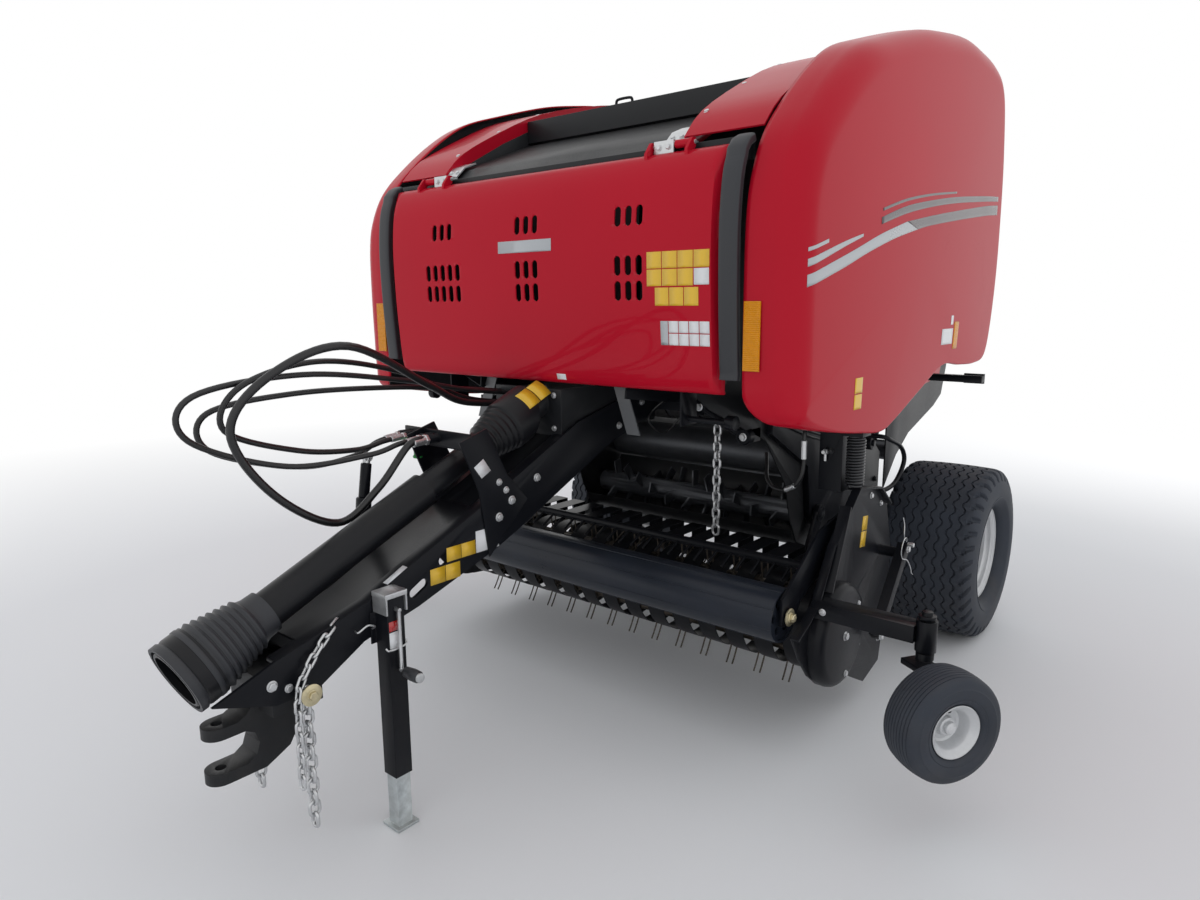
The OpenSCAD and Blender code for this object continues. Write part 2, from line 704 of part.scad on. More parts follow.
jack_y = nose(-2856);
jack_x = drawbar_half_w + 6 + jack_w / 2;
jack_wall = 5;
jack_leg_w = jack_w - 2 * jack_wall - pin_play;
jack_top = 800;
module jack_tube() {
    color(black) from_axle() {
        difference() {
            translate([jack_x - jack_w / 2, jack_y - jack_w / 2, 187]) cube([jack_w, jack_w,
                jack_top - 187]);
            translate([jack_x - jack_w / 2 + jack_wall, jack_y - jack_w / 2 + jack_wall, 186])
                cube([jack_w - 2 * jack_wall, jack_w - 2 * jack_wall, jack_top - 206]);
        }
        translate([drawbar_half_w, jack_y - 50, 640]) cube([6, 100, 104]);
    }
}

// Cap, crank and knob: the crank hangs down beside the tube when parked
crank_z = jack_top - 40;
crank_x = jack_x + jack_w / 2 + 16;
crank_d = 13;
knob_z = 560;
module jack_crank() {
    color(zinc) from_axle() {
        translate([jack_x - jack_w / 2, jack_y - jack_w / 2 - 9, jack_top])
            cube([jack_w + 8, jack_w + 18, 16]);
        for (s = [-1, 1]) translate([jack_x - jack_w / 2 + 1, jack_y + s * (jack_w / 2 + 5) - 3,
            jack_top - 52]) cube([jack_w + 7, 6, 52]);
        rod_x(jack_x + jack_w / 2, crank_x + crank_d / 2, jack_y, crank_z, crank_d, 24);
        translate([crank_x, jack_y, knob_z]) cylinder(d = crank_d, h = crank_z - knob_z, $fn = 24);
        rod_x(crank_x - crank_d / 2, crank_x + 26, jack_y, knob_z, crank_d, 24);
        rod_x(crank_x + 26, crank_x + 96, jack_y, knob_z, 30, 24);
    }
}

module jack_leg() {
    color(white) from_axle() {
        translate([jack_x - jack_leg_w / 2, jack_y - jack_leg_w / 2, 10]) cube([jack_leg_w,
            jack_leg_w, 520]);
        translate([jack_x - 42, jack_y - 42, 0]) cube([84, 84, 10]);
    }
}

// One chain link lying in the plane x = 0, its length along Z
module link(wire, inside, length) {
    r = inside / 2 + wire / 2;
    straight = length - inside - 2 * wire;
    for (s = [0, 1]) translate([0, 0, (s * 2 - 1) * straight / 2]) rotate([0, s * 180, 0])
        rotate([90, 0, 90]) rotate([0, 0, 180]) rotate_extrude(angle = 180, $fn = 20)
            translate([r, 0]) circle(d = wire, $fn = 14);
    for (s = [-1, 1]) translate([0, s * r, -straight / 2]) cylinder(d = wire, h = straight, $fn = 14);
}

chain_pin = [nose(-3150), 580];
chain_x = drawbar_half_w + 22;
chain_step = chain_link - 2 * chain_wire + 1;
module hanging_chain(x, y, top, links) {
    for (i = [0:links - 1]) translate([x, y, top - i * chain_step])
        rotate([0, 0, (i % 2) * 90]) link(chain_wire, chain_inside, chain_link);
}

module safety_chains() {
    top = chain_pin[1] - (chain_link - chain_inside - 2 * chain_wire) / 2;
    color("#8d9094") from_axle() {
        hanging_chain(chain_x, chain_pin[0], top, 12);
        hanging_chain(-chain_x, chain_pin[0], top, 12);
        hanging_chain(lift_chain[0], lift_chain[1], lift_chain[2] - chain_pin[1] + top, 14);
    }
}

// Pickup

pickup_hinge = [-800, 720];
reel_axis = [-1356, 425];
guard_hinge = [-1080, 900];
crop_axis = [-1746, 585];
king_pin = [1440, -1600];
end_outline = [[-1286, 985], [-1060, 950], [-940, 860], [-860, 640], [-880, 400], [-936, 141],
    [-1099, 100], [-1330, 222], [-1460, 236], [-1560, 264], [-1645, 330], [-1720, 420],
    [-1784, 523], [-1700, 560], [-1623, 610], [-1500, 800]];
flange_out = 24;
end_edge = [[-1784, 523], [-1700, 560], [-1623, 610], [-1500, 800], [-1286, 985], [-1060, 950],
    [-940, 860]];
// Rounded covers outside the end plates: their middle, radius and depth
end_cover = [-1455, 440];
end_cover_r = 205;
end_cover_depth = 58;
module end_cover_body() {
    r = end_cover_r;
    d = end_cover_depth;
    translate([pickup_half_w + end_plate_t, end_cover[0], end_cover[1]])
        rotate([90, 0, 90]) rotate_extrude($fn = 96) polygon([[0, d], [r - 34, d], [r - 16, d - 6],
            [r - 5, d - 18], [r, d - 36], [r, 0], [r - 5, 0], [r - 5, d - 38], [r - 24, d - 6],
            [0, d - 6]]);
}

// Bar beside the end plate that holds the gauge wheel for the road
post = [[-1230, 370], [-960, 690]];
post_x = pickup_half_w + 100;
pickup_arm_x = frame_x + clear;
pickup_tube = [-950, 470];
pickup_tube_d = 80;
reel_shaft_d = 60;
guard_pin_d = 24;
guard_arm_x = pickup_half_w - 40;

module pickup_frame() {
    color(black) from_axle() {
        both_sides() difference() {
            side_plate(pickup_half_w, end_plate_t, end_outline);
            rod_x(pickup_half_w - 1, pickup_half_w + end_plate_t + 1, reel_axis[0], reel_axis[1],
                reel_shaft_d + pin_play);
        }
        rod_x(-pickup_half_w, pickup_half_w, pickup_tube[0], pickup_tube[1], pickup_tube_d);
        both_sides() {
            // flange bent outwards along the front and top edge
            side_plate(pickup_half_w + end_plate_t, flange_out, concat(end_edge,
                [for (i = [0:len(end_edge) - 1]) offset_line(end_edge, 8)[len(end_edge) - 1 - i]]));
            end_cover_body();
            strut(post[0], post[1], 46, post_x, 40);
            rod_x(pickup_half_w + end_plate_t, post_x - 20, -1210, 394, 30, 24);
            rod_x(pickup_half_w + end_plate_t, post_x - 20, -985, 660, 44, 24);
            // upright that the windguard's arm rests on
            translate([pickup_half_w + end_plate_t, -1560, 640]) rotate([-24, 0, 0]) {
                cube([44, 10, 330]);
                cube([8, 70, 330]);
            }
            // arm out to the gauge wheel's king pin
            translate([pickup_half_w + end_plate_t, -1640, 560])
                cube([king_pin[0] - pickup_half_w - end_plate_t - 30, 80, 60]);
            translate([king_pin[0], king_pin[1], 530]) difference() {
                cylinder(d = 70, h = 110);
                translate([0, 0, -1]) cylinder(d = 36.6, h = 112, $fn = 48);
            }
            // arms from the cross tube up to the frame's pins
            difference() {
                union() {
                    strut(pickup_tube, pickup_hinge, 70, pickup_arm_x + 11, 16);
                    rod_x(pickup_arm_x, pickup_arm_x + 24, pickup_hinge[0], pickup_hinge[1], 80);
                }
                rod_x(pickup_arm_x - 1, pickup_arm_x + 25, pickup_hinge[0], pickup_hinge[1],
                    40 + pin_play);
            }
            // pins of the windguard's arms
            rod_x(guard_arm_x - 4, pickup_half_w, guard_hinge[0], guard_hinge[1], guard_pin_d);
        }
    }
}

band_count = floor(2 * pickup_half_w / tine_pitch);
band_tail = pickup_tube[0] - pickup_tube_d / 2 - reel_axis[0];
module pickup_bands() {
    r = tine_r - 75;
    color(black) from_axle() for (i = [0:band_count - 1])
        translate([(i - (band_count - 1) / 2) * tine_pitch - band_w / 2, reel_axis[0], reel_axis[1]])
            rotate([90, 0, 90]) linear_extrude(height = band_w) difference() {
                union() {
                    circle(r = r, $fn = 48);
                    polygon([[0, r], [band_tail, r], [band_tail, 45], [0, -r]]);
                }
                circle(r = r - 3, $fn = 48);
                polygon([[0, r - 3], [band_tail - 3, r - 3], [band_tail - 3, 47], [0, 3 - r]]);
            }
}

// One star plate at each end of the reel, with an arm for each bar of tines
bar_r = 130;
bar_d = 30;
star = [for (k = [0:tine_bars - 1], q = [[44, 26], [bar_r + 22, 22], [bar_r + 22, -22], [44, -26]])
    let (a = 180 - k * 360 / tine_bars)
    q[0] * [cos(a), sin(a)] + q[1] * [-sin(a), cos(a)]];
module pickup_reel() {
    color("#303134") from_axle() translate([0, reel_axis[0], reel_axis[1]]) {
        rod_x(-pickup_half_w - end_plate_t, pickup_half_w + end_plate_t, 0, 0, reel_shaft_d);
        both_sides() side_plate(pickup_half_w - 45, 10, star);
        for (k = [0:tine_bars - 1]) rotate([k * 360 / tine_bars, 0, 0]) {
            rod_x(-pickup_half_w + clear, pickup_half_w - clear, -bar_r, 0, bar_d, 24);
            for (i = [0:band_count - 2])
                translate([(i - (band_count - 2) / 2) * tine_pitch, -bar_r, 0])
                    rotate([90, 0, 0]) cylinder(d = tine_d, h = tine_r - bar_r, $fn = 14);
        }
    }
}

guard_rod = [-1506, 700];
guard_rod_d = 36;
finger_pitch = 66;
finger_count = floor(2 * (guard_arm_x - 60) / finger_pitch);
finger_len = 95;
finger_lean = -62;
module windguard() {
    color(black) from_axle() {
        both_sides() difference() {
            side_plate(guard_arm_x, 10, [[guard_hinge[0] + 40, guard_hinge[1] - 20],
                [guard_hinge[0] + 40, guard_hinge[1] + 30], [-1500, 850], [-1790, 660], [-1790, 560],
                [-1700, 540], [-1640, 620], [-1500, 670], [-1300, 790]]);
            rod_x(guard_arm_x - 1, guard_arm_x + 11, guard_hinge[0], guard_hinge[1],
                guard_pin_d + pin_play);
            rod_x(guard_arm_x - 1, guard_arm_x + 11, crop_axis[0], crop_axis[1], guard_pin_d + pin_play);
        }
        rod_x(-guard_arm_x, guard_arm_x, guard_rod[0], guard_rod[1], guard_rod_d, 32);
        // short fingers from the rod down over the bands
        for (i = [0:finger_count - 1])
            translate([(i - (finger_count - 1) / 2) * finger_pitch, guard_rod[0], guard_rod[1]])
                rotate([finger_lean, 0, 0]) translate([0, 0, -finger_len])
                    cylinder(d = 11, h = finger_len, $fn = 14);
    }
}

module crop_roller() {
    color(black) from_axle() {
        tube_x(guard_arm_x - clear, crop_axis, crop_roller_d);
        both_sides() {
            // end disc with its round openings, and the stub that turns in the windguard's arm
            difference() {
                rod_x(guard_arm_x - 25, guard_arm_x - 15, crop_axis[0], crop_axis[1],
                    crop_roller_d - tube_wall);
                for (a = [0:60:300]) rod_x(guard_arm_x - 26, guard_arm_x - 14,
                    crop_axis[0] + crop_roller_d * 0.29 * cos(a),
                    crop_axis[1] + crop_roller_d * 0.29 * sin(a), 32, 24);
            }
            rod_x(guard_arm_x - 25, guard_arm_x + 14, crop_axis[0], crop_axis[1], guard_pin_d);
        }
    }
}

wheel_turn = -32.3;
gauge_side = 180;
gauge_lead = -70;
gauge_z = 370;
module at_king_pin() {
    translate([king_pin[0], king_pin[1], 0]) rotate([0, 0, wheel_turn]) children();
}

module gauge_arm_body() {
    at_king_pin() {
        translate([0, 0, 500]) cylinder(d = 36, h = 170, $fn = 48);
        translate([0, 0, 500]) cylinder(d = 60, h = 25, $fn = 48);
        translate([0, 0, 645]) cylinder(d = 60, h = 12, $fn = 48);
        translate([-35, -35 + gauge_lead / 2, 480]) cube([120, 80, 20]);
        translate([70, gauge_lead - 30, gauge_z - 30]) cube([15, 60, 530 - gauge_z]);
        rod_x(85, gauge_side + 30, gauge_lead, gauge_z, 30, 32);
    }
}

module gauge_arm_l() {
    color(black) from_axle() gauge_arm_body();
}

module gauge_arm_r() {
    color(black) from_axle() mirror([1, 0, 0]) gauge_arm_body();
}

// A tyre about X with its middle at the origin: a hollow section that sits on the rim's beads
module tyre_ring(d, w, seat, bead_w, wall, ribs, groove) {
    r = d / 2;
    b = seat / 2;
    tread = w * 0.42;
    side = [[b, -bead_w / 2], [b + 16, -bead_w / 2 - 1], [b + 26, -w * 0.44], [r - (r - b) * 0.5, -w / 2],
        [r - (r - b) * 0.22, -w * 0.485], [r - 14, -tread]];
    lining = [[b, -bead_w / 2 + wall], [b + 26, -bead_w / 2 + wall], [r - (r - b) * 0.5, -w / 2 + wall],
        [r - wall * 1.4, -tread + wall]];
    pitch = 2 * tread / ribs;
    grooves = [for (i = [1:ribs - 1]) each [[r, -tread + i * pitch - groove / 2],
        [r - groove, -tread + i * pitch - groove / 4], [r - groove, -tread + i * pitch + groove / 4],
        [r, -tread + i * pitch + groove / 2]]];
    function across(line) = [for (i = [0:len(line) - 1]) let (p = line[len(line) - 1 - i]) [p[0], -p[1]]];
    rotate([0, 90, 0]) rotate_extrude($fn = 72)
        polygon(concat(side, [[r, -tread + 14]], grooves, [[r, tread - 14]], across(side),
            lining_row(across(lining)), lining_row(lining)));
}
function lining_row(line) = [for (i = [0:len(line) - 1]) line[len(line) - 1 - i]];

// A dished rim about X whose flanges hold the tyre's beads
module wheel_rim(seat, bead_w, flange, hub, bore, hub_out) {
    b = seat / 2;
    e = bead_w / 2;
    rotate([0, 90, 0]) rotate_extrude($fn = 72) polygon([
        [bore / 2, -hub_out * 0.6], [hub, -hub_out * 0.6], [hub, -hub_out * 0.2], [b * 0.72,
            -hub_out * 0.2],
        [b * 0.84, -hub_out * 0.6], [b * 0.84, -e], [b + flange, -e - 9], [b + flange, -e - 2.5],
            [b - 0.3, -e - 1],
        [b - 0.3, e + 1], [b + flange, e + 2.5], [b + flange, e + 9], [b * 0.86, e - 4], [b * 0.86,
            e * 0.3],
        [b * 0.72, 6], [hub, 6], [hub, hub_out], [bore / 2, hub_out]]);
}

rim_seat = rim_d - 24;
rim_bead_w = 330;
// Notches across both shoulders of a main tyre
notch_count = 40;
notch_w = 22;
notch_deep = 16;
module tyre_body() {
    translate([track_half, 0, axle_z]) difference() {
        tyre_ring(tyre_d, tyre_w, rim_seat, rim_bead_w, 26, 8, 9);
        for (i = [0:notch_count - 1], s = [-1, 1])
            rotate([(i + (s + 1) / 4) * 360 / notch_count, 0, 0])
                translate([s * (tyre_w * 0.42 + 8) - 26, -notch_w / 2, tyre_d / 2 - notch_deep])
                    cube([52, notch_w, 40]);
    }
}

module tyre_l() {
    color(rubber) from_axle() tyre_body();
}

module tyre_r() {
    color(rubber) from_axle() mirror([1, 0, 0]) tyre_body();
}

module rim_l() {
    color(white) from_axle() translate([track_half, 0, axle_z]) wheel_rim(rim_seat, rim_bead_w, 12,
        90, spindle_d + pin_play, 60);
}

module rim_r() {
    color(white) from_axle() mirror([1, 0, 0]) translate([track_half, 0, axle_z]) wheel_rim(rim_seat,
        rim_bead_w, 12, 90, spindle_d + pin_play, 60);
}

module at_gauge_wheel() {
    at_king_pin() translate([gauge_side, gauge_lead, gauge_z]) children();
}

gauge_seat = gauge_rim_d - 20;
gauge_bead_w = 116;
module gauge_tyre_body() {
    at_gauge_wheel() tyre_ring(gauge_d, gauge_w, gauge_seat, gauge_bead_w, 12, 7, 5);
}

module gauge_rim_body() {
    at_gauge_wheel() wheel_rim(gauge_seat, gauge_bead_w, 10, 30, 30 + pin_play, 30);
}

module gauge_tyre_l() {
    color(rubber) from_axle() gauge_tyre_body();
}

module gauge_tyre_r() {
    color(rubber) from_axle() mirror([1, 0, 0]) gauge_tyre_body();
}

module gauge_rim_l() {
    color(white) from_axle() gauge_rim_body();
}

module gauge_rim_r() {
    color(white) from_axle() mirror([1, 0, 0]) gauge_rim_body();
}

module lift_springs() {
    color(dark) from_axle() both_sides() {
        translate([spring_x, spring_y, spring_foot]) cylinder(d = spring_d - 2 * spring_wire + 4,
            h = spring_top - spring_foot, $fn = 24);
        for (i = [0:spring_turns - 1]) translate([spring_x, spring_y, spring_foot + spring_wire
            + i * (spring_top - spring_foot - 2 * spring_wire) / (spring_turns - 1)])
            rotate_extrude($fn = 24) translate([(spring_d - spring_wire) / 2, 0])
                circle(d = spring_wire, $fn = 14);
    }
}

light_arm_x = 1150;
module light_arms() {
    color(black) from_axle() both_sides()
        translate([side_x + sheet_t, -60, 1300]) cube([light_arm_x - side_x - sheet_t, 40, 35]);
}

// Tailgate

gate_line = concat([[-20, 690], [180, 850], [360, 955], [770, 1070], [900, 1130]],
    [[tail_reach - 20, 1300], [tail_reach, 1550], [tail_reach - 20, 1850], [900, 2120], [740, 2370],
        [520, 2540], [260, 2620], [20, 2600]]);
gate_pin = [300, 1950];
function rear_sheet(line, t) = concat(line,
    [for (i = [0:len(line) - 1]) line[len(line) - 1 - i] - [t, 0]]);
module gate_sides() {
    color(black) from_axle() {
        both_sides() {
            difference() {
                side_plate(gate_x, gate_t, concat([for (p = gate_line) [max(p[0], 20), p[1]]],
                    [[-gate_hinge_y, gate_hinge_z + 50], [-gate_hinge_y - 45, gate_hinge_z],
                        [-gate_hinge_y, gate_hinge_z - 50], [20, gate_hinge_z - 70]]));
                rod_x(gate_x - 1, gate_x + gate_t + 1, -gate_hinge_y, gate_hinge_z,
                    hinge_pin_d + pin_play);
            }
            rod_x(gate_x + gate_t, cyl_x - 20, gate_pin[0], gate_pin[1], 100);
        }
        for (p = [[900, 1250], [880, 1900], [600, 2440]]) rod_x(-gate_x, gate_x, p[0], p[1], 50, 32);
        // bent sheets across the rear, above and below the open window
        side_plate(-gate_x, 2 * gate_x, rear_sheet([[930, 1180], [965, 1300], [982, 1500]], 5));
        side_plate(-gate_x, 2 * gate_x, rear_sheet([[962, 1900], [890, 2130], [740, 2362]], 5));
    }
}

module gate_panels() {
    color(red) from_axle() both_sides() difference() {
        side_plate(gate_x + gate_t, 12, [[60, 1500], [400, 1200], [800, 1250], [900, 1500], [880, 1850],
            [800, 2100], [640, 2300], [420, 2430], [150, 2480], [60, 2300]]);
        rod_x(gate_x + gate_t - 1, gate_x + gate_t + 13, gate_pin[0], gate_pin[1], 110);
    }
}

gate_roller_d = 110;
gate_roller_path = [[740, 1230], [860, 1620], [600, 2320]];
module gate_rollers() {
    color("#3a3b3d") from_axle()
        for (p = concat([[150, 880]], gate_roller_path)) tube_x(gate_x, p, gate_roller_d);
}

module gate_belts() {
    color(rubber) from_axle() belts(gate_roller_path, gate_roller_d);
}

module lamps() {
    color("#8c1014") from_axle() both_sides()
        translate([light_arm_x - 90, -20, 1298]) cube([90, 22, 40]);
}

// Gate cylinders

barrel_pin = [-350, 1000];
cyl_x = gate_x + gate_t + 50;
cyl_run = gate_pin - barrel_pin;
cyl_tilt = atan2(cyl_run[1], cyl_run[0]);
cyl_len = norm(cyl_run);
module along_cylinder(s) {
    translate([cyl_x, barrel_pin[0], barrel_pin[1]])
        rotate([cyl_tilt - 90, 0, 0]) translate([0, 0, s]) children();
}

module gate_barrel_body() {
    difference() {
        union() {
            along_cylinder(0) rotate([0, 90, 0]) translate([0, 0, -20]) cylinder(d = 70, h = 40);
            along_cylinder(25) cylinder(d = 66, h = 940);
        }
        along_cylinder(60) cylinder(d = 50, h = 865);
        along_cylinder(60) cylinder(d = 36.6, h = 960);
        along_cylinder(0) rotate([0, 90, 0]) translate([0, 0, -30]) cylinder(d = 30 + pin_play, h = 60);
    }
}

module gate_rod_body() {
    along_cylinder(100) cylinder(d = 36, h = cyl_len - 110);
    along_cylinder(100) cylinder(d = 49, h = 60);
    along_cylinder(cyl_len) rotate([0, 90, 0]) translate([0, 0, -18]) cylinder(d = 56, h = 36);
    along_cylinder(cyl_len) rotate([0, 90, 0]) translate([0, 0, 18]) cylinder(d = 34, h = 12);
}

module gate_barrel_l() {
    color(black) from_axle() gate_barrel_body();
}

module gate_barrel_r() {
    color(black) from_axle() mirror([1, 0, 0]) gate_barrel_body();
}

module gate_rod_l() {
    color(white) from_axle() gate_rod_body();
}

module gate_rod_r() {
    color(white) from_axle() mirror([1, 0, 0]) gate_rod_body();
}

// Hydraulic hoses

// Routes as [x, y, z] points counted from the axle, in millimetres
socket_y = rack_y - socket_len;
hose_routes = [
    [[-150, -1985, 1300], [-140, -2250, 1330], [-60, -2480, 1420], [30, -2850, 1575],
        [-10, -3090, 1500], [-60, -3200, 1340], [-70, -3080, 1130], [-80, -2860, 990],
        [-72, -2700, 1080], [-66, -2570, 1212], [hose_sockets[3], socket_y, rack_z]],
    [[-175, -1985, 1340], [-180, -2200, 1370], [-170, -2500, 1430], [-160, -2900, 1480],
        [-170, -3250, 1440], [-180, -3270, 1310], [-160, -2980, 1190], [-120, -2700, 1190],
        [-104, -2580, 1215], [hose_sockets[2], socket_y, rack_z]],
    [[-200, -1985, 1300], [-200, -2200, 1340], [-190, -2500, 1460], [-150, -2850, 1520],
        [-140, -3120, 1460], [-160, -3170, 1330], [-190, -2920, 1230], [-195, -2700, 1200],
        [-195, -2580, 1215], [hose_sockets[1], socket_y, rack_z]],
    [[-220, -1985, 1345], [-230, -2200, 1370], [-240, -2500, 1400], [-260, -2880, 1410],
        [-290, -3160, 1370], [-290, -3160, 1250], [-260, -2880, 1160], [-240, -2680, 1170],
        [-232, -2580, 1210], [hose_sockets[0], socket_y, rack_z]]];
hose_d = [26, 19, 19, 19];
hose_sides = 8;

// Rings of points about a path, their planes square to its direction
function path_dir(p, i) = i == 0 ? [0, -1, 0] : i == len(p) - 1 ? [0, 1, 0] : unit(p[i + 1] - p[i - 1]);
function hose_ring(p, i, r) =
    let (t = path_dir(p, i), u = unit(cross(t, [1, 0.2, 0.1])), v = cross(t, u))
    [for (k = [0:hose_sides - 1]) let (a = 360 * k / hose_sides) p[i] + r * (cos(a) * u + sin(a) * v)];

module hose_tube(route, d, steps) {
    path = spline(route, steps);
    n = len(path);
    points = [for (i = [0:n - 1]) each hose_ring(path, i, d / 2)];
    faces = concat(
        [for (i = [0:n - 2], k = [0:hose_sides - 1])
            let (m = (k + 1) % hose_sides)
            [i * hose_sides + k, (i + 1) * hose_sides + k, (i + 1) * hose_sides + m, i * hose_sides + m]],
        [[for (k = [0:hose_sides - 1]) k]],
        [[for (k = [0:hose_sides - 1]) n * hose_sides - 1 - k]]);
    polyhedron(points, faces, convexity = 10);
}

module hose(i) {
    color(rubber) from_axle() hose_tube(hose_routes[i], hose_d[i], 3);
}

module hose_1() {
    hose(0);
}

module hose_2() {
    hose(1);
}

module hose_3() {
    hose(2);
}

module hose_4() {
    hose(3);
}

chassis();
axle_beam();
chamber_sides();
chamber_rollers();
front_belts();
top_frame();
inner_panels();
edge_strips();
hood_hinges();
shield_hinges();
drawbar();
hitch();
hose_holder();
gearbox();
gearbox_shield();
drive_shaft();
shaft_cones();
jack_tube();
jack_crank();
jack_leg();
safety_chains();
feed_housing();
feed_rotor();
lift_springs();
light_arms();
lamps();
hood();
shield_l();
shield_r();
reflectors_l();
reflectors_r();
pickup_frame();
pickup_bands();
pickup_reel();
windguard();
crop_roller();
gauge_arm_l();
gauge_arm_r();
gauge_tyre_l();
gauge_tyre_r();
gauge_rim_l();
gauge_rim_r();
gate_sides();
gate_panels();
gate_rollers();
gate_belts();
gate_barrel_l();
gate_barrel_r();
gate_rod_l();
gate_rod_r();
tyre_l();
tyre_r();
rim_l();
rim_r();
hose_1();
hose_2();
hose_3();
hose_4();
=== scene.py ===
# %% [markdown]
# # A towed round baler, dressed in Blender
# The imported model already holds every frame, tube, wheel and hinge at its real size.
# This notebook adds what the eye looks for: paint, rubber, tread, bolts, hoses and stickers.
# Each step names a piece of the real machine, says how it could be made, and makes it.

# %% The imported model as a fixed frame
import json
import math

import bmesh
import bpy
import numpy as np
from mathutils import Matrix, Vector
from mathutils.geometry import delaunay_2d_cdt


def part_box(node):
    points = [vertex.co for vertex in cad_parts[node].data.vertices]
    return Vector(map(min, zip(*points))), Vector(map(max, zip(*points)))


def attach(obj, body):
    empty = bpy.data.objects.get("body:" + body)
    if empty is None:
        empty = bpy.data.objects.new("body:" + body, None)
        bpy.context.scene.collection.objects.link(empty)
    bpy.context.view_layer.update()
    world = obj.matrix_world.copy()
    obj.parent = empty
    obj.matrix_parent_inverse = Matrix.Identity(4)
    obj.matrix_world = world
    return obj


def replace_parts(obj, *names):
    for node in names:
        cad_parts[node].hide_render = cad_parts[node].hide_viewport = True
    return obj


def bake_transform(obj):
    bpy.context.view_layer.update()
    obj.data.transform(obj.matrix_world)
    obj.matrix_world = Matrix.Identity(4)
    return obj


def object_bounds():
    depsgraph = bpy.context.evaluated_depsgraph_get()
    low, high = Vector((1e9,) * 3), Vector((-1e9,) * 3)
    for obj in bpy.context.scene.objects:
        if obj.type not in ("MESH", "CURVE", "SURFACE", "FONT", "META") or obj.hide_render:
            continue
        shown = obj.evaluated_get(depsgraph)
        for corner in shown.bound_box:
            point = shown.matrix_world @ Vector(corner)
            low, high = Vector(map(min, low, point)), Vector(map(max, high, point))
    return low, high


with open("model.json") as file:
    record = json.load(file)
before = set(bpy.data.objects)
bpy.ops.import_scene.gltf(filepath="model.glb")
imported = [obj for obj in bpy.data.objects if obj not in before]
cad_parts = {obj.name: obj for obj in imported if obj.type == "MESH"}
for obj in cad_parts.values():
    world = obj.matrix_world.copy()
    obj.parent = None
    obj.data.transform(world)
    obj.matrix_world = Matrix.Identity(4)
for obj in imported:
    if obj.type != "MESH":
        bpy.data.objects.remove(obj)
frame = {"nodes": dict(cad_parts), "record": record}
cad_box = [list(corner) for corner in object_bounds()]
nodes = frame["nodes"]
body_of = {node: body for body, names in frame["record"]["behaviour"]["bodies"].items() for node in names}
MM = 0.001
tyre_low, tyre_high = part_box("tyre_l")
axle_y = 0.5 * (tyre_low.y + tyre_high.y)
print("nodes", len(nodes), "axle at y", round(axle_y, 4))

# %% [markdown]
# ## The camera
# The photograph was taken from the machine's left front, at head height, with a wide lens.
# A camera is a place, three turns and a lens length, so those are the values kept here.

# %% Camera
camera_place = (2.2554, -4.2918 + axle_y, 1.7059)
camera_yaw, camera_down, camera_roll = 39.94, 10.39, -0.38
camera_data = bpy.data.cameras.new("photo_camera")
camera_data.sensor_width = 36.0
camera_data.lens = 24.28
camera = bpy.data.objects.new("photo_camera", camera_data)
bpy.context.scene.collection.objects.link(camera)
turn = (Matrix.Rotation(math.radians(camera_yaw), 4, "Z")
        @ Matrix.Rotation(math.radians(90 - camera_down), 4, "X")
        @ Matrix.Rotation(math.radians(camera_roll), 4, "Z"))
camera.matrix_world = Matrix.Translation(camera_place) @ turn
bpy.context.scene.camera = camera
bpy.context.scene.view_settings.view_transform = "Standard"

# %% [markdown]
# ## Helpers for surfaces
# A surface is a grid of points worked out all at once with numpy.
# The same few helpers turn a grid, a profile or a path into a mesh.


# %% Mesh helpers
OUT, FRONT, BACK, UP = (1, 0, 0), (0, -1, 0), (0, 1, 0), (0, 0, 1)
TURN = 2 * np.pi


def on_machine(points):
    """Points in millimetres counted from the axle, as metres in the model's frame."""
    return np.asarray(points, float) * MM + np.array([0.0, axle_y, 0.0])


def unit(vectors):
    """Each vector divided by its own length."""
    return vectors / np.linalg.norm(vectors, axis=-1, keepdims=True)


def run_of(line):
    """The distance along a line of points, from its start to each of them."""
    return np.concatenate([[0], np.cumsum(np.linalg.norm(np.diff(line, axis=0), axis=1))])


def grid_faces(rows, cols, closed_rows=False, closed_cols=False):
    """Quads between neighbours of a rows by cols grid; a closed way joins its last line to its first."""
    a, b = np.meshgrid(np.arange(rows - (not closed_rows)), np.arange(cols - (not closed_cols)),
                       indexing="ij")
    a2, b2 = (a + 1) % rows, (b + 1) % cols
    return np.stack([a * cols + b, a * cols + b2, a2 * cols + b2, a2 * cols + b], -1).reshape(-1, 4)


def lathe_grid(profile, steps):
    """Each profile point (along, radius) carried round the X axis: y = r cos a, z = r sin a."""
    a = np.linspace(0, TURN, steps, endpoint=False)[:, None]
    along, radius = np.asarray(profile, float).T
    return np.stack([np.broadcast_to(along, (steps, len(along))), np.cos(a) * radius, np.sin(a) * radius], -1)


def spline(points, steps, closed=False):
    """A smooth curve through the points: on each stretch the weights of four neighbours are cubics of u."""
    p = np.asarray(points, float)
    q = np.vstack([p[-1:], p, p[:2]]) if closed else np.vstack([p[:1], p, p[-1:]])
    u = np.linspace(0, 1, steps, endpoint=False)[None, :, None]
    a, b, c, d = (q[i:len(q) - 3 + i][:, None] for i in range(4))
    rows = 0.5 * (2 * b + (c - a) * u + (2 * a - 5 * b + 4 * c - d) * u ** 2
                  + (3 * b - a - 3 * c + d) * u ** 3).reshape(-1, p.shape[1])
    return rows if closed else np.vstack([rows, p[-1:]])


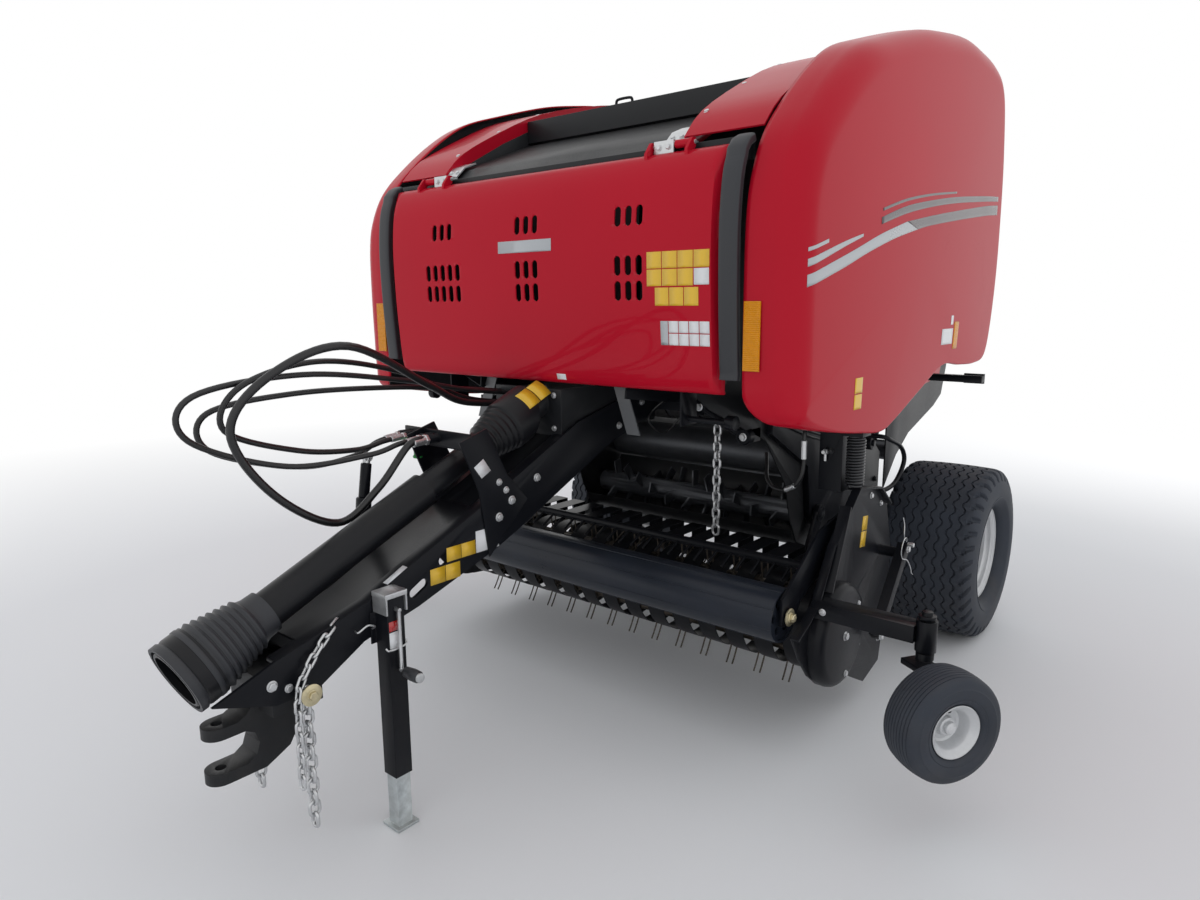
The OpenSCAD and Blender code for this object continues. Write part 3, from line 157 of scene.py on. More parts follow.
def tube_mesh(path, radius, sides=12, up=(1.0, 0.2, 0.1)):
    """Rings of points square to a path, with a fan over each end, as (points, faces)."""
    path = np.asarray(path, float)
    along = unit(np.gradient(path, axis=0))
    u = unit(np.cross(along, np.asarray(up, float)))
    v = np.cross(along, u)
    a = np.linspace(0, TURN, sides, endpoint=False)[None, :, None]
    rings = path[:, None] + radius * (np.cos(a) * u[:, None] + np.sin(a) * v[:, None])
    verts = np.vstack([rings.reshape(-1, 3), path[:1], path[-1:]])
    n = len(path) * sides
    faces = grid_faces(len(path), sides, closed_cols=True)[:, ::-1].tolist()
    for i in range(sides):
        j = (i + 1) % sides
        faces += [(i, j, n), (n - sides + j, n - sides + i, n + 1)]
    return verts, faces


def joined(parts):
    """Several (points, faces) meshes as one."""
    verts, faces, base = [], [], 0
    for v, f in parts:
        verts.append(np.asarray(v, float).reshape(-1, 3))
        faces += [[int(i) + base for i in face] for face in f]
        base += len(verts[-1])
    return np.vstack(verts), faces


def flipped(parts):
    """The parts' mirror images across the machine's middle, with the faces turned back outwards."""
    return [(np.asarray(v, float) * [-1, 1, 1], [tuple(f)[::-1] for f in faces]) for v, faces in parts]


def moved(parts, shift):
    """The parts, shifted by a vector."""
    return [(np.asarray(v, float) + shift, f) for v, f in parts]


def fit(name, parts, look, body, sharp=40, both=False):
    """A piece from parts in mm, doubled across the middle if both. An edge past sharp degrees stays crisp."""
    verts, faces = joined(list(parts) + flipped(parts) if both else parts)
    mesh = bpy.data.meshes.new(name)
    mesh.from_pydata(on_machine(verts).tolist(), [], faces)
    mesh.update()
    mesh.shade_smooth()
    mesh.set_sharp_from_angle(angle=math.radians(sharp))
    mesh.materials.append(looks[look])
    piece = bpy.data.objects.new(name, mesh)
    bpy.context.scene.collection.objects.link(piece)
    if body:
        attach(piece, body)
    return piece


def on_side(side, name, parts, look, body, sharp=40, node=None):
    """A piece on one side's body from the left side's parts, in place of that side's node if any."""
    placed = parts if side == "l" else flipped(parts)
    piece = fit(f"{name}_{side}", placed, look, f"{body}_{side}", sharp)
    if node:
        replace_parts(piece, f"{node}_{side}")
    return piece


# %% [markdown]
# A closed shape can come out inside out, depending on which way its rows run. Its volume,
# summed over the faces, tells: a negative sum means that every face has to be turned round.


# %% Outward faces, plates and turned pieces
def volume(verts, quads):
    """Six times the volume that the quads enclose: corner points multiplied out, triangle by triangle."""
    a, b, c, d = (verts[quads[:, i]] for i in range(4))
    return (a * np.cross(b, c)).sum() + (a * np.cross(c, d)).sum()


def shell(grid):
    """A grid of points whose rows close on themselves, as (points, quads) that face outwards."""
    verts, quads = grid.reshape(-1, 3), grid_faces(*grid.shape[:2], True, True)
    return verts, quads if volume(verts, quads) > 0 else quads[:, ::-1]


def capped(rings):
    """Rings of points joined into a skin with one flat face at each end, all facing outwards."""
    rows, cols = rings.shape[:2]
    verts, quads = rings.reshape(-1, 3), grid_faces(rows, cols, False, True)
    ends = [range(cols)[::-1], range((rows - 1) * cols, rows * cols)]
    if volume(verts, quads) < 0:
        quads, ends = quads[:, ::-1], [end[::-1] for end in ends]
    return verts, quads.tolist() + ends


def prism(outline, x0, x1):
    """A flat outline of [y, z] points, carried along X from x0 to x1."""
    return capped(np.stack([np.column_stack([np.full(len(outline), float(x)), outline]) for x in (x0, x1)]))


def rect(u0, v0, u1, v1):
    """The four corners of a rectangle, in order round it."""
    return [(u0, v0), (u1, v0), (u1, v1), (u0, v1)]


def block(low, high):
    """A box between two corners."""
    return prism(rect(*low[1:], *high[1:]), low[0], high[0])


def basis(way):
    """Three directions square to each other, the first along way."""
    a = unit(np.asarray(way, float))
    u = unit(np.cross(a, [0.0, 0.0, 1.0] if abs(a[2]) < 0.9 else [0.0, 1.0, 0.0]))
    return np.stack([a, u, np.cross(a, u)])


def turned(profile, place=(0, 0, 0), way=OUT, steps=24):
    """A closed (along, radius) outline turned about an axis through place."""
    return shell(lathe_grid(profile, steps) @ basis(way) + np.asarray(place, float))


def boss(profile, place=(0, 0, 0), way=OUT, steps=24, tip=0.0):
    """A solid turned piece: its outline starts and ends next to the axis, the end lifted by tip."""
    near_axis = 0.001
    whole = [(profile[0][0], near_axis), *profile, (profile[-1][0] + tip, near_axis)]
    return turned(whole, place, way, steps)


def rod(a, b, radius, steps=16):
    """A round bar from a to b whose ends are rounded by 0.15 of its radius."""
    a, b = np.asarray(a, float), np.asarray(b, float)
    length = np.linalg.norm(b - a)
    e = min(0.15 * radius, length / 4)
    return boss([(0, radius - e), (e, radius), (length - e, radius), (length, radius - e)], a, b - a, steps)


def pipe(points, radius, steps=8, sides=12):
    """A bent pipe through a few points, swept along their smooth curve."""
    return tube_mesh(spline(points, steps), radius, sides)


def facing(verts, faces, way):
    """The faces of a sheet, all turned round if their summed directions point away from way."""
    a, b, c = (verts[faces[:, i]] for i in range(3))
    return faces if np.cross(b - a, c - a).sum(axis=0) @ np.asarray(way, float) > 0 else faces[:, ::-1]


# %% [markdown]
# ## Finishes
# Farm paint isn't one colour: it has a faint mottle, dust that settles low down and on
# upper faces, and fine scratches. Three shader groups give those effects as masks and
# heights, and each finish places them with its own values.


# %% Shader groups
def feed(tree, node, inputs):
    """Sets a node's inputs: a value that is another node's socket is linked, any other is typed in."""
    for key, value in inputs.items():
        if isinstance(value, bpy.types.NodeSocket):
            tree.links.new(value, node.inputs[key])
        else:
            node.inputs[key].default_value = value


def add(tree, kind, inputs=None, out=0, **fields):
    """A new shader node with its fields and inputs set: gives its output out, or the node if out is None."""
    node = tree.nodes.new("ShaderNode" + kind)
    for key, value in fields.items():
        setattr(node, key, value)
    feed(tree, node, inputs or {})
    return node if out is None else node.outputs[out]


def node_group(name, inputs, outputs):
    """An empty shader group whose sockets are all single numbers, and its input and output nodes."""
    group = bpy.data.node_groups.new(name, "ShaderNodeTree")
    for label, value in inputs.items():
        group.interface.new_socket(label, in_out="INPUT", socket_type="NodeSocketFloat").default_value = value
    for label in outputs:
        group.interface.new_socket(label, in_out="OUTPUT", socket_type="NodeSocketFloat")
    return group, group.nodes.new("NodeGroupInput").outputs, group.nodes.new("NodeGroupOutput")


def mottle_group():
    """Noise at two scales, remapped between Low and High: broad blotches with fine grain on them."""
    group, given, out = node_group("mottle", {"Broad": 3.0, "Fine": 60.0, "Low": 0.9, "High": 1.1},
                                   ["Value", "Height"])
    place = add(group, "TexCoord", out="Object")
    broad, fine = (add(group, "TexNoise", {"Vector": place, "Scale": given[key], "Detail": detail}, "Fac")
                   for key, detail in (("Broad", 3.0), ("Fine", 6.0)))
    blotch = add(group, "Math", {0: broad, 1: 0.65}, operation="MULTIPLY")
    mix = add(group, "Math", {0: fine, 1: 0.35, 2: blotch}, operation="MULTIPLY_ADD")
    value = add(group, "MapRange", {"Value": mix, "From Min": 0.3, "From Max": 0.7, "To Min": given["Low"],
                                    "To Max": given["High"]})
    feed(group, out, {"Value": value, "Height": fine})
    return group


def dust_group():
    """Dust lies where a face looks up and where the machine is near the ground, broken up by noise."""
    group, given, out = node_group("dust", {"Amount": 0.3, "Low Line": 0.9}, ["Mask"])
    place = add(group, "TexCoord", out="Object")
    height = add(group, "SeparateXYZ", {"Vector": place}, "Z")
    low = add(group, "MapRange", {"Value": height, "From Max": given["Low Line"], "To Min": 1.0,
                                  "To Max": 0.0})
    tilt = add(group, "SeparateXYZ", {"Vector": add(group, "NewGeometry", out="Normal")}, "Z")
    up = add(group, "MapRange", {"Value": tilt, "From Min": 0.4, "To Max": 0.6})
    both = add(group, "Math", {0: low, 1: up}, operation="ADD")
    noise = add(group, "TexNoise", {"Vector": place, "Scale": 9.0, "Detail": 8.0, "Roughness": 0.65}, "Fac")
    patch = add(group, "MapRange", {"Value": noise, "From Min": 0.38, "From Max": 0.68})
    mask = add(group, "Math", {0: both, 1: patch}, operation="MULTIPLY")
    feed(group, out, {"Mask": add(group, "Math", {0: mask, 1: given["Amount"]}, operation="MULTIPLY",
                                  use_clamp=True)})
    return group


MOTTLE, DUST = mottle_group(), dust_group()
DUST_COLOUR = (0.20, 0.165, 0.125, 1.0)

# %% [markdown]
# A finish is one Principled shader. Its base colour is varied by the mottle, dust is
# mixed over it, and the mottle's fine grain gives the roughness and the bump.


# %% Finishes by name
def finish(name, colour, rough, metal, coat, spread, broad, fine, bump, dust, low_line, specular,
           coat_rough=0.05, bump_size=0.0006, rough_spread=0.08):
    """A procedural material: colour times mottle, dust mixed over, roughness about rough, bump in metres."""
    material = bpy.data.materials.new(name)
    material.use_nodes = True
    tree = material.node_tree
    mottle = add(tree, "Group", {"Broad": broad, "Fine": fine, "Low": 1 - spread, "High": 1 + spread}, None,
                 node_tree=MOTTLE).outputs
    top = add(tree, "Mix", {0: 1.0, 6: (*colour, 1.0), 7: mottle["Value"]}, 2, data_type="RGBA",
              blend_type="MULTIPLY")
    dull = add(tree, "MapRange", {"Value": mottle["Value"], "From Min": 1 - spread, "From Max": 1 + spread,
                                  "To Min": max(rough - rough_spread, 0.02),
                                  "To Max": min(rough + rough_spread, 1.0)})
    if dust:
        mask = add(tree, "Group", {"Amount": dust, "Low Line": low_line}, node_tree=DUST)
        top = add(tree, "Mix", {0: mask, 6: top, 7: DUST_COLOUR}, 2, data_type="RGBA")
        dull = add(tree, "Mix", {0: mask, 2: dull, 3: 0.85})
    relief = add(tree, "Bump", {"Strength": bump, "Distance": bump_size, "Height": mottle["Height"]})
    feed(tree, tree.nodes["Principled BSDF"], {
        "Base Color": top, "Roughness": dull, "Normal": relief, "Metallic": metal,
        "Specular IOR Level": specular, "Coat Weight": coat, "Coat Roughness": coat_rough})
    return material


# A row: name, colour, roughness, metal, coat, spread, broad, fine, bump, dust, low line, specular,
# and where the usual values don't serve, those of the last arguments
look_rows = [
    ("red_paint", (0.46, 0.006, 0.021), 0.3, 0, 0.16, 0.05, 1.2, 400, 0.02, 0.05, 1.2, 0.05,
     {"coat_rough": 0.04, "rough_spread": 0.03}),
    ("black_paint", (0.006, 0.0068, 0.0095), 0.36, 0, 0.06, 0.22, 4, 150, 0.1, 0.03, 0.9, 0.14,
     {"coat_rough": 0.2}),
    # slate_paint: the black paint made lighter and bluer for the crop roller, a painted reflection of the sky
    ("slate_paint", (0.016, 0.02, 0.029), 0.34, 0, 0.1, 0.22, 4, 150, 0.1, 0.03, 0.9, 0.2,
     {"coat_rough": 0.2}),
    ("black_bolt", (0.012, 0.013, 0.016), 0.34, 0.3, 0, 0.2, 20, 150, 0.05, 0, 0.9, 0.5),
    ("grey_sheet", (0.1, 0.105, 0.11), 0.42, 0, 0.15, 0.12, 3, 120, 0.05, 0.15, 0.9, 0.5),
    ("dark_steel", (0.01, 0.011, 0.013), 0.45, 0, 0.05, 0.25, 3, 120, 0.12, 0.05, 1.4, 0.25),
    ("cast_black", (0.01, 0.011, 0.013), 0.45, 0, 0, 0.3, 3, 260, 0.5, 0.06, 0.9, 0.3, {"bump_size": 0.001}),
    ("tyre_rubber", (0.031, 0.037, 0.049), 0.68, 0, 0, 0.25, 6, 300, 0.25, 0.12, 0.6, 0.35,
     {"rough_spread": 0.1}),
    ("belt_rubber", (0.02, 0.02, 0.021), 0.75, 0, 0, 0.2, 3, 500, 0.5, 0.08, 2, 0.5),
    ("strip_rubber", (0.02, 0.022, 0.027), 0.5, 0, 0, 0.15, 3, 350, 0.2, 0.05, 0.9, 0.5),
    ("liner_plastic", (0.03, 0.032, 0.036), 0.55, 0, 0, 0.15, 3, 200, 0.1, 0, 0.9, 0.25),
    ("guard_plastic", (0.0075, 0.008, 0.01), 0.36, 0, 0, 0.15, 3, 420, 0.15, 0.05, 0.9, 0.25),
    ("hose_rubber", (0.012, 0.012, 0.013), 0.32, 0, 0, 0.2, 3, 500, 0.2, 0.03, 0.9, 0.5),
    ("silver_paint", (0.62, 0.63, 0.64), 0.36, 0.35, 0, 0.08, 3, 90, 0.05, 0.25, 0.5, 0.5),
    ("zinc_plate", (0.6, 0.61, 0.62), 0.34, 0.85, 0, 0.15, 14, 120, 0.1, 0.02, 0.9, 0.5),
    ("yellow_zinc", (0.62, 0.55, 0.36), 0.36, 0.85, 0, 0.2, 20, 120, 0.05, 0.1, 0.9, 0.5),
    ("galvanised", (0.52, 0.56, 0.57), 0.42, 0.8, 0, 0.22, 30, 90, 0.08, 0.2, 0.9, 0.5),
    ("bright_rod", (0.75, 0.76, 0.77), 0.14, 1, 0, 0.04, 3, 300, 0.02, 0, 0.9, 0.5),
    ("spring_paint", (0.016, 0.017, 0.02), 0.35, 0, 0.2, 0.2, 20, 150, 0.05, 0, 0.9, 0.5),
    ("spring_steel", (0.085, 0.07, 0.055), 0.42, 0.6, 0, 0.4, 18, 120, 0.05, 0, 0.9, 0.5),
    ("roller_steel", (0.085, 0.09, 0.1), 0.42, 0.6, 0, 0.2, 8, 90, 0.05, 0.05, 2, 0.5),
    ("amber", (0.68, 0.27, 0.006), 0.28, 0, 0.15, 0.05, 40, 600, 0.25, 0, 0.9, 0.2),
    ("yellow_film", (0.76, 0.47, 0.025), 0.35, 0, 0.2, 0.04, 3, 200, 0.02, 0.03, 0.9, 0.5),
    ("white_film", (0.74, 0.75, 0.76), 0.35, 0, 0.2, 0.04, 3, 200, 0.02, 0.03, 0.9, 0.5),
    ("silver_film", (0.42, 0.44, 0.46), 0.32, 0.3, 0.3, 0.05, 3, 200, 0.02, 0, 0.9, 0.5),
    ("grey_film", (0.1, 0.085, 0.09), 0.32, 0.2, 0.3, 0.06, 3, 200, 0.02, 0, 0.9, 0.5),
    ("green_cap", (0.02, 0.3, 0.05), 0.4, 0, 0, 0.1, 3, 200, 0.05, 0, 0.9, 0.5),
    ("clear_lamp", (0.7, 0.72, 0.74), 0.12, 0.2, 0.8, 0.1, 60, 300, 0.05, 0, 0.9, 0.5),
    ("red_lamp", (0.45, 0.01, 0.01), 0.15, 0, 0.9, 0.1, 60, 300, 0.05, 0, 0.9, 0.5),
]
looks = {row[0]: finish(*row[:12], **dict(*row[12:])) for row in look_rows}
look_nodes = {
    "black_paint": "chassis axle_beam drawbar hose_holder jack_tube lift_springs light_arms pickup_frame "
                   "pickup_bands windguard gauge_arm_l gauge_arm_r gate_barrel_l gate_barrel_r",
    "dark_steel": "chamber_sides top_frame gearbox feed_housing gate_sides",
    "roller_steel": "chamber_rollers feed_rotor gate_rollers",
    "belt_rubber": "front_belts gate_belts",
    "red_paint": "inner_panels hood shield_l shield_r gate_panels",
    "strip_rubber": "edge_strips shaft_cones",
    "zinc_plate": "hood_hinges shield_hinges jack_crank safety_chains",
    "cast_black": "hitch",
    "guard_plastic": "gearbox_shield drive_shaft",
    "galvanised": "jack_leg",
    "clear_lamp": "lamps",
    "amber": "reflectors_l reflectors_r",
    "spring_steel": "pickup_reel",
    # the crop roller's black carries a painted sky reflection
    "slate_paint": "crop_roller",
    "tyre_rubber": "gauge_tyre_l gauge_tyre_r tyre_l tyre_r",
    "silver_paint": "gauge_rim_l gauge_rim_r rim_l rim_r",
    "bright_rod": "gate_rod_l gate_rod_r",
    "hose_rubber": "hose_1 hose_2 hose_3 hose_4",
}
look_of = {node: look for look, names in look_nodes.items() for node in names.split()}
for key, node in nodes.items():
    node.data.materials.clear()
    node.data.materials.append(looks[look_of[key]])
print("finishes", len(looks), "nodes dressed", len(nodes))

# %% [markdown]
# ## Steel with rounded edges
# Cut and bent plates never have a knife edge: each corner has a small radius that catches
# a thin line of light. It could be modelled plate by plate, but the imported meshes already
# have the right shape. So each one is copied, its loose triangles are joined into plates,
# and a Bevel modifier rounds the edges. Turned pieces only need their points merged.


# %% Rounded copies of the steel nodes
def rounded_copy(node, width=1.6, crisp=35):
    """The node's mesh with its points merged, its flat triangles joined, and an edge radius of width mm."""
    form = bmesh.new()
    form.from_mesh(nodes[node].data)
    bmesh.ops.remove_doubles(form, verts=form.verts, dist=0.00002)
    bmesh.ops.dissolve_limit(form, angle_limit=math.radians(0.4), verts=form.verts, edges=form.edges)
    mesh = bpy.data.meshes.new(node + "_rounded")
    form.to_mesh(mesh)
    form.free()
    mesh.shade_smooth()
    mesh.materials.append(looks[look_of[node]])
    piece = bpy.data.objects.new(node + "_rounded", mesh)
    bpy.context.scene.collection.objects.link(piece)
    if width:
        edges = piece.modifiers.new("edges", "BEVEL")
        edges.width = width * MM
        edges.segments = 2
        edges.limit_method = "ANGLE"
        edges.angle_limit = math.radians(crisp)
        edges.harden_normals = True
    else:
        mesh.set_sharp_from_angle(angle=math.radians(crisp))
    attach(piece, body_of[node])
    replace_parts(piece, node)
    return piece


plate_nodes = ("chassis axle_beam chamber_sides top_frame drawbar hitch hose_holder gearbox jack_tube "
               "jack_crank jack_leg light_arms pickup_frame windguard gauge_arm_l gauge_arm_r gate_sides "
               "gate_panels hood_hinges shield_hinges gate_barrel_l gate_barrel_r").split()
turned_nodes = ("gearbox_shield drive_shaft shaft_cones chamber_rollers gate_rollers crop_roller "
                "safety_chains pickup_bands inner_panels front_belts gate_belts feed_housing gate_rod_l "
                "gate_rod_r feed_rotor").split()
for node in plate_nodes:
    rounded_copy(node)
for node in turned_nodes:
    rounded_copy(node, 0)
print("rounded copies", len(plate_nodes), "merged copies", len(turned_nodes))

# %% [markdown]
# ## Main tyres
# A farm trailer tyre has zigzag grooves round its tread and deep oblique notches in its
# shoulders. Displacing a cylinder by a texture would give soft edges, so the grid's own
# columns follow the grooves: each groove has two edge columns and two floor columns, and
# all of them swing from side to side as they go round.


# %% Tread and sidewall
wheel_middle = [1030, 0, 435]
tyre_r = 435.0
groove_pitch, groove_deep, groove_swing, waves = 44.0, 9.0, 8.0, 36
crown_deep, tread_half = 5, 176
# A shoulder notch: its slant in waves to a mm, its width and its walls in waves, and how far it
# goes inwards and down in mm
notch_slant, notch_wide, notch_wall, notch_in, notch_down = 0.011, 0.38, 0.06, 10, 14
# Shoulder and sidewall columns: distance from the middle, radius, share of the notch's depth
side_columns = np.array([
    (177, 430, 0.25), (184, 428.5, 1), (196, 425, 1), (205, 419.5, 1), (212, 410, 1), (218, 397, 0.9),
    (222, 384, 0.45), (225, 372, 0), (228, 350, 0), (230, 328, 0), (229, 306, 0), (226.5, 291, 0),
    (229, 289, 0), (228, 284, 0), (221, 276, 0), (208, 258, 0), (193, 246, 0), (178, 240, 0), (168, 239, 0),
    (165.8, 235, 0), (165, 224.6, 0)])


def zigzag(turns, count):
    """count waves a turn between -1 and 1: a triangle wave doubled in height and cut flat."""
    saw = np.abs((turns * count) % 1.0 * 4 - 2) - 1
    return np.clip(2 * saw, -1, 1)


def shoulder(turns, side):
    """Sidewall columns on one side, pushed inwards where the repeating, slanting notch runs."""
    x, r, share = side_columns.T
    lap = (turns * waves + notch_slant * (x - side_columns[0, 0]) + 0.25 * (1 + side)) % 1.0
    notch = np.clip(np.minimum(lap, notch_wide - lap) / notch_wall, 0, 1) * share
    return side * (x - notch_in * notch * (x > 200)), r - notch_down * notch


def main_tyre(steps=576):
    """The tyre's radius less a crown that grows with x squared, less the grooves, carried round X."""
    turns = np.arange(steps)[:, None] / steps
    middle = (np.arange(8) - 3.5) * groove_pitch
    edges = np.array([-5.0, -3.0, 3.0, 5.0])
    x = np.concatenate([(middle[:, None] + edges).ravel(), middle[:-1] + groove_pitch / 2])
    deep = np.concatenate([np.tile([0, groove_deep, groove_deep, 0], 8), np.zeros(7)])
    order = np.argsort(x)
    tread_x = x[order] + groove_swing * zigzag(turns, waves)
    tread_z = tyre_r - crown_deep * (tread_x / tread_half) ** 2 - deep[order]
    right_x, right_r = shoulder(turns, 1)
    left_x, left_r = shoulder(turns, -1)
    across = np.concatenate([left_x[:, ::-1], tread_x, right_x], axis=1)
    radius = np.concatenate([left_r[:, ::-1], tread_z, right_r], axis=1)
    a = TURN * turns
    return np.stack([across, np.cos(a) * radius, np.sin(a) * radius], -1)


tyre_shell = shell(main_tyre() + wheel_middle)
for side in "lr":
    on_side(side, "main_tyre", [tyre_shell], "tyre_rubber", "wheel", 30, "tyre")
print("tyre faces", len(tyre_shell[1]))

# %% [markdown]
# ## Main rims
# The rim is pressed from sheet: a rolled flange, a stepped well and a dished disc with
# eight nuts round the hub. It is one outline, turned about the wheel's axle.

# %% Rims, hub caps and nuts
rim_outline = [(60, 31), (60, 78), (56, 86), (48, 90), (14, 92), (9, 96), (9, 150), (15, 160), (40, 176),
               (52, 182), (56, 190), (60, 192), (92, 193), (97, 200), (101, 203), (128, 204), (133, 210),
               (138, 213), (154, 214), (161, 219), (165, 228), (169, 233), (173, 234), (174, 236),
               (171, 236.3), (167.6, 232), (166.4, 226), (164.5, 223.8), (-164.5, 223.8), (-166.4, 226),
               (-167.6, 232), (-171, 236.3), (-174, 236), (-172, 232), (-164, 226), (-156, 216), (-120, 207),
               (-96, 196), (-60, 190), (-10, 184), (0, 160), (1, 100), (-4, 92), (-34, 90), (-36, 88),
               (-36, 31)]


def nut_ring(radius, count, x, size, high):
    """Washers, hexagon nuts and stud ends, evenly spaced on a circle about the X axis."""
    parts = []
    for a in TURN * np.arange(count) / count:
        place = (x, radius * np.cos(a), radius * np.sin(a))
        parts += [boss([(0, size * 0.72), (2.5, size * 0.72)], place, OUT, 20),
                  boss([(2.5, size / 2), (high - 2, size / 2), (high, size * 0.42)], place, OUT, 6),
                  boss([(high, size * 0.26), (high + 6, size * 0.24)], place, OUT, 12)]
    return parts


hub_cap = boss([(58, 56), (62, 57), (74, 54), (86, 44), (92, 26)], steps=48, tip=2)
nuts = nut_ring(radius=122, count=8, x=9, size=30, high=20)
rim_rows = [("rim_dish", [turned(rim_outline, steps=96)], "silver_paint", "rim"),
            ("hub_cap", [hub_cap], "black_paint", None), ("wheel_nuts", nuts, "zinc_plate", None)]
for side in "lr":
    for name, parts, look, node in rim_rows:
        on_side(side, name, moved(parts, wheel_middle), look, "wheel", 30, node)
print("rims turned from", len(rim_outline), "outline points")

# %% [markdown]
# ## Gauge wheels
# The small wheels beside the pickup have plain ribs round the tread and a round hub cap.
# Both are turned, and then swung about the upright king pin to where they were parked.

# %% Gauge tyres and rims
king_pin, wheel_turn, hub_offset = [1440, -1600], -32.3, [180, -70, 370]
rib_pitch, rib_deep, gauge_r, gauge_crown, gauge_half = 13.0, 4.0, 185, 7, 60


def at_gauge_wheel(part):
    """A part about the hub, moved to the king pin and turned about it by the parked angle."""
    a = math.radians(wheel_turn)
    swing = np.array([[math.cos(a), math.sin(a), 0], [-math.sin(a), math.cos(a), 0], [0, 0, 1]])
    return (part[0] + hub_offset) @ swing + [*king_pin, 0], part[1]


def gauge_tyre_outline():
    """Ten ribs between V grooves on a crown that grows with x squared, and a shoulder and sidewall."""
    groove = (np.arange(9) - 4) * rib_pitch
    x = (groove[:, None] + [-1.8, 0.0, 1.8]).ravel()
    deep = np.tile([0.0, rib_deep, 0.0], 9)
    tread = np.column_stack([x, gauge_r - gauge_crown * (x / gauge_half) ** 2 - deep])
    wall = np.array([(61, 176), (67, 170), (71, 162), (74, 151), (75.5, 148), (77.5, 146), (77.5, 130),
                     (76.5, 118), (74, 113), (75.5, 111), (72, 103), (67, 97), (62, 93.5), (59, 91.5),
                     (58.2, 80.4)])
    return np.vstack([wall[::-1] * [-1, 1], tread, wall])


gauge_rim_outline = [(30, 15.4), (30, 26), (27, 30), (10, 32), (6, 36), (5, 50), (9, 58), (26, 63), (44, 66),
                     (50, 70), (54, 76), (60, 80), (64, 86), (67, 88), (66, 90), (63.5, 90.2), (61, 84),
                     (58, 79.8), (-58, 79.8), (-61, 84), (-63.5, 90.2), (-66, 90), (-67, 88), (-58, 78),
                     (-44, 70), (-10, 66), (0, 58), (0, 34), (-18, 30), (-18, 15.4)]
gauge_cap = boss([(29, 21), (33, 22), (42, 20), (48, 13)], steps=32, tip=2)
gauge_valve = boss([(5, 6), (7, 7), (9, 6)], (0, 20, 40), steps=20)
gauge_parts = {"gauge_tread": (turned(gauge_tyre_outline(), steps=96), "tyre_rubber", "gauge_tyre"),
               "gauge_dish": (turned(gauge_rim_outline, steps=72), "silver_paint", "gauge_rim"),
               "gauge_cap": (gauge_cap, "silver_paint", None),
               "gauge_valve": (gauge_valve, "strip_rubber", None)}
for label, (part, look, node) in gauge_parts.items():
    for side in "lr":
        on_side(side, label, [at_gauge_wheel(part)], look, "gauge_wheel", 28, node)
print("gauge wheel pieces", 2 * len(gauge_parts))

# %% [markdown]
# ## Side shields
# Each side shield is one moulded skin: a front and top band that turns back round a soft
# crease into a gently domed side. Its outline is a smooth closed curve, and every point
# of it sends one row of the grid inwards, round the crease and on to the middle.

# %% Shield surface
shield_x, shield_in_x, shield_deep, shield_dome, sheet_wall = 1128.0, 940.0, 118.0, 9.0, 6.0
shield_mid = np.array([-950.0, 1850.0])
# Shares of the way in from the rim: how far out the flat band gets, how deep it gets, and what
# the crease adds outwards; the least share of the full band; and the least outward part of a
# face's direction where film may lie
band_out, band_deep, crease_out, least_share, film_facing = 0.45, 0.06, 0.57, 0.06, 0.2
# Outline points from the lower rear corner round the top to the front: y, z, share of the full band
shield_ring = np.array([
    (40, 1430, .15), (130, 1580, .35), (185, 1840, .5), (195, 2150, .6), (190, 2400, .8), (150, 2640, 1),
    (60, 2760, 1), (-80, 2808, 1), (-260, 2822, 1), (-440, 2823, 1), (-660, 2792, 1), (-930, 2738, 1),
    (-1270, 2638, 1), (-1480, 2566, 1), (-1640, 2470, 1), (-1800, 2340, 1), (-1920, 2215, 1),
    (-1985, 2080, 1), (-2008, 1950, 1), (-2012, 1750, 1), (-2010, 1560, 1), (-2004, 1400, 1),
    (-1975, 1322, .7), (-1900, 1296, .3), (-1700, 1262, .08), (-1470, 1230, .08), (-1280, 1212, .08),
    (-1150, 1240, .08), (-900, 1325, .08), (-600, 1420, .08), (-350, 1408, .08), (-120, 1402, .08)])


def ring_blur(values, spread):
    """Each row of a closed ring averaged with its neighbours, weighted by a bell curve spread rows wide."""
    reach = np.arange(-3 * spread, 3 * spread + 1)
    weight = np.exp(-0.5 * (reach / spread) ** 2)
    return sum(w * np.roll(values, k, axis=0) for k, w in zip(reach, weight)) / weight.sum()


def shield_grid():
    """Rows run inwards from the rim: a nearly flat band, a quarter round crease, then a dome 9 mm high."""
    ring = spline(shield_ring, 10, closed=True)
    edge, share = ring[:, :2], np.clip(ring[:, 2:], least_share, 1)
    along = unit(np.roll(edge, -1, axis=0) - np.roll(edge, 1, axis=0))
    inward = ring_blur(np.column_stack([-along[:, 1], along[:, 0]]) * share, 4)
    t = np.linspace(0, 1, 7)[:-1]
    a = np.linspace(math.asin(0.041), np.pi / 2, 15)
    out = np.concatenate([band_out * t, 1 - crease_out + crease_out * np.sin(a)])
    deep = np.concatenate([band_deep * t ** 2, 1 - (1 - band_deep) * np.cos(a)])
    x_rim = shield_x - (shield_x - shield_in_x) * share * (1 - out)
    yz_rim = edge[:, None] + inward[:, None] * shield_deep * deep[None, :, None]
    s = np.array([0.03, 0.08, 0.15, 0.23, 0.32, 0.42, 0.52, 0.62, 0.72, 0.82, 0.91])
    yz_side = yz_rim[:, -1:] * (1 - s)[None, :, None] + shield_mid * s[None, :, None]
    x_side = np.broadcast_to(shield_x + shield_dome * (1 - (1 - s) ** 2), yz_side.shape[:2])
    return np.concatenate([np.dstack([x_rim, yz_rim]), np.dstack([x_side, yz_side])], axis=1)


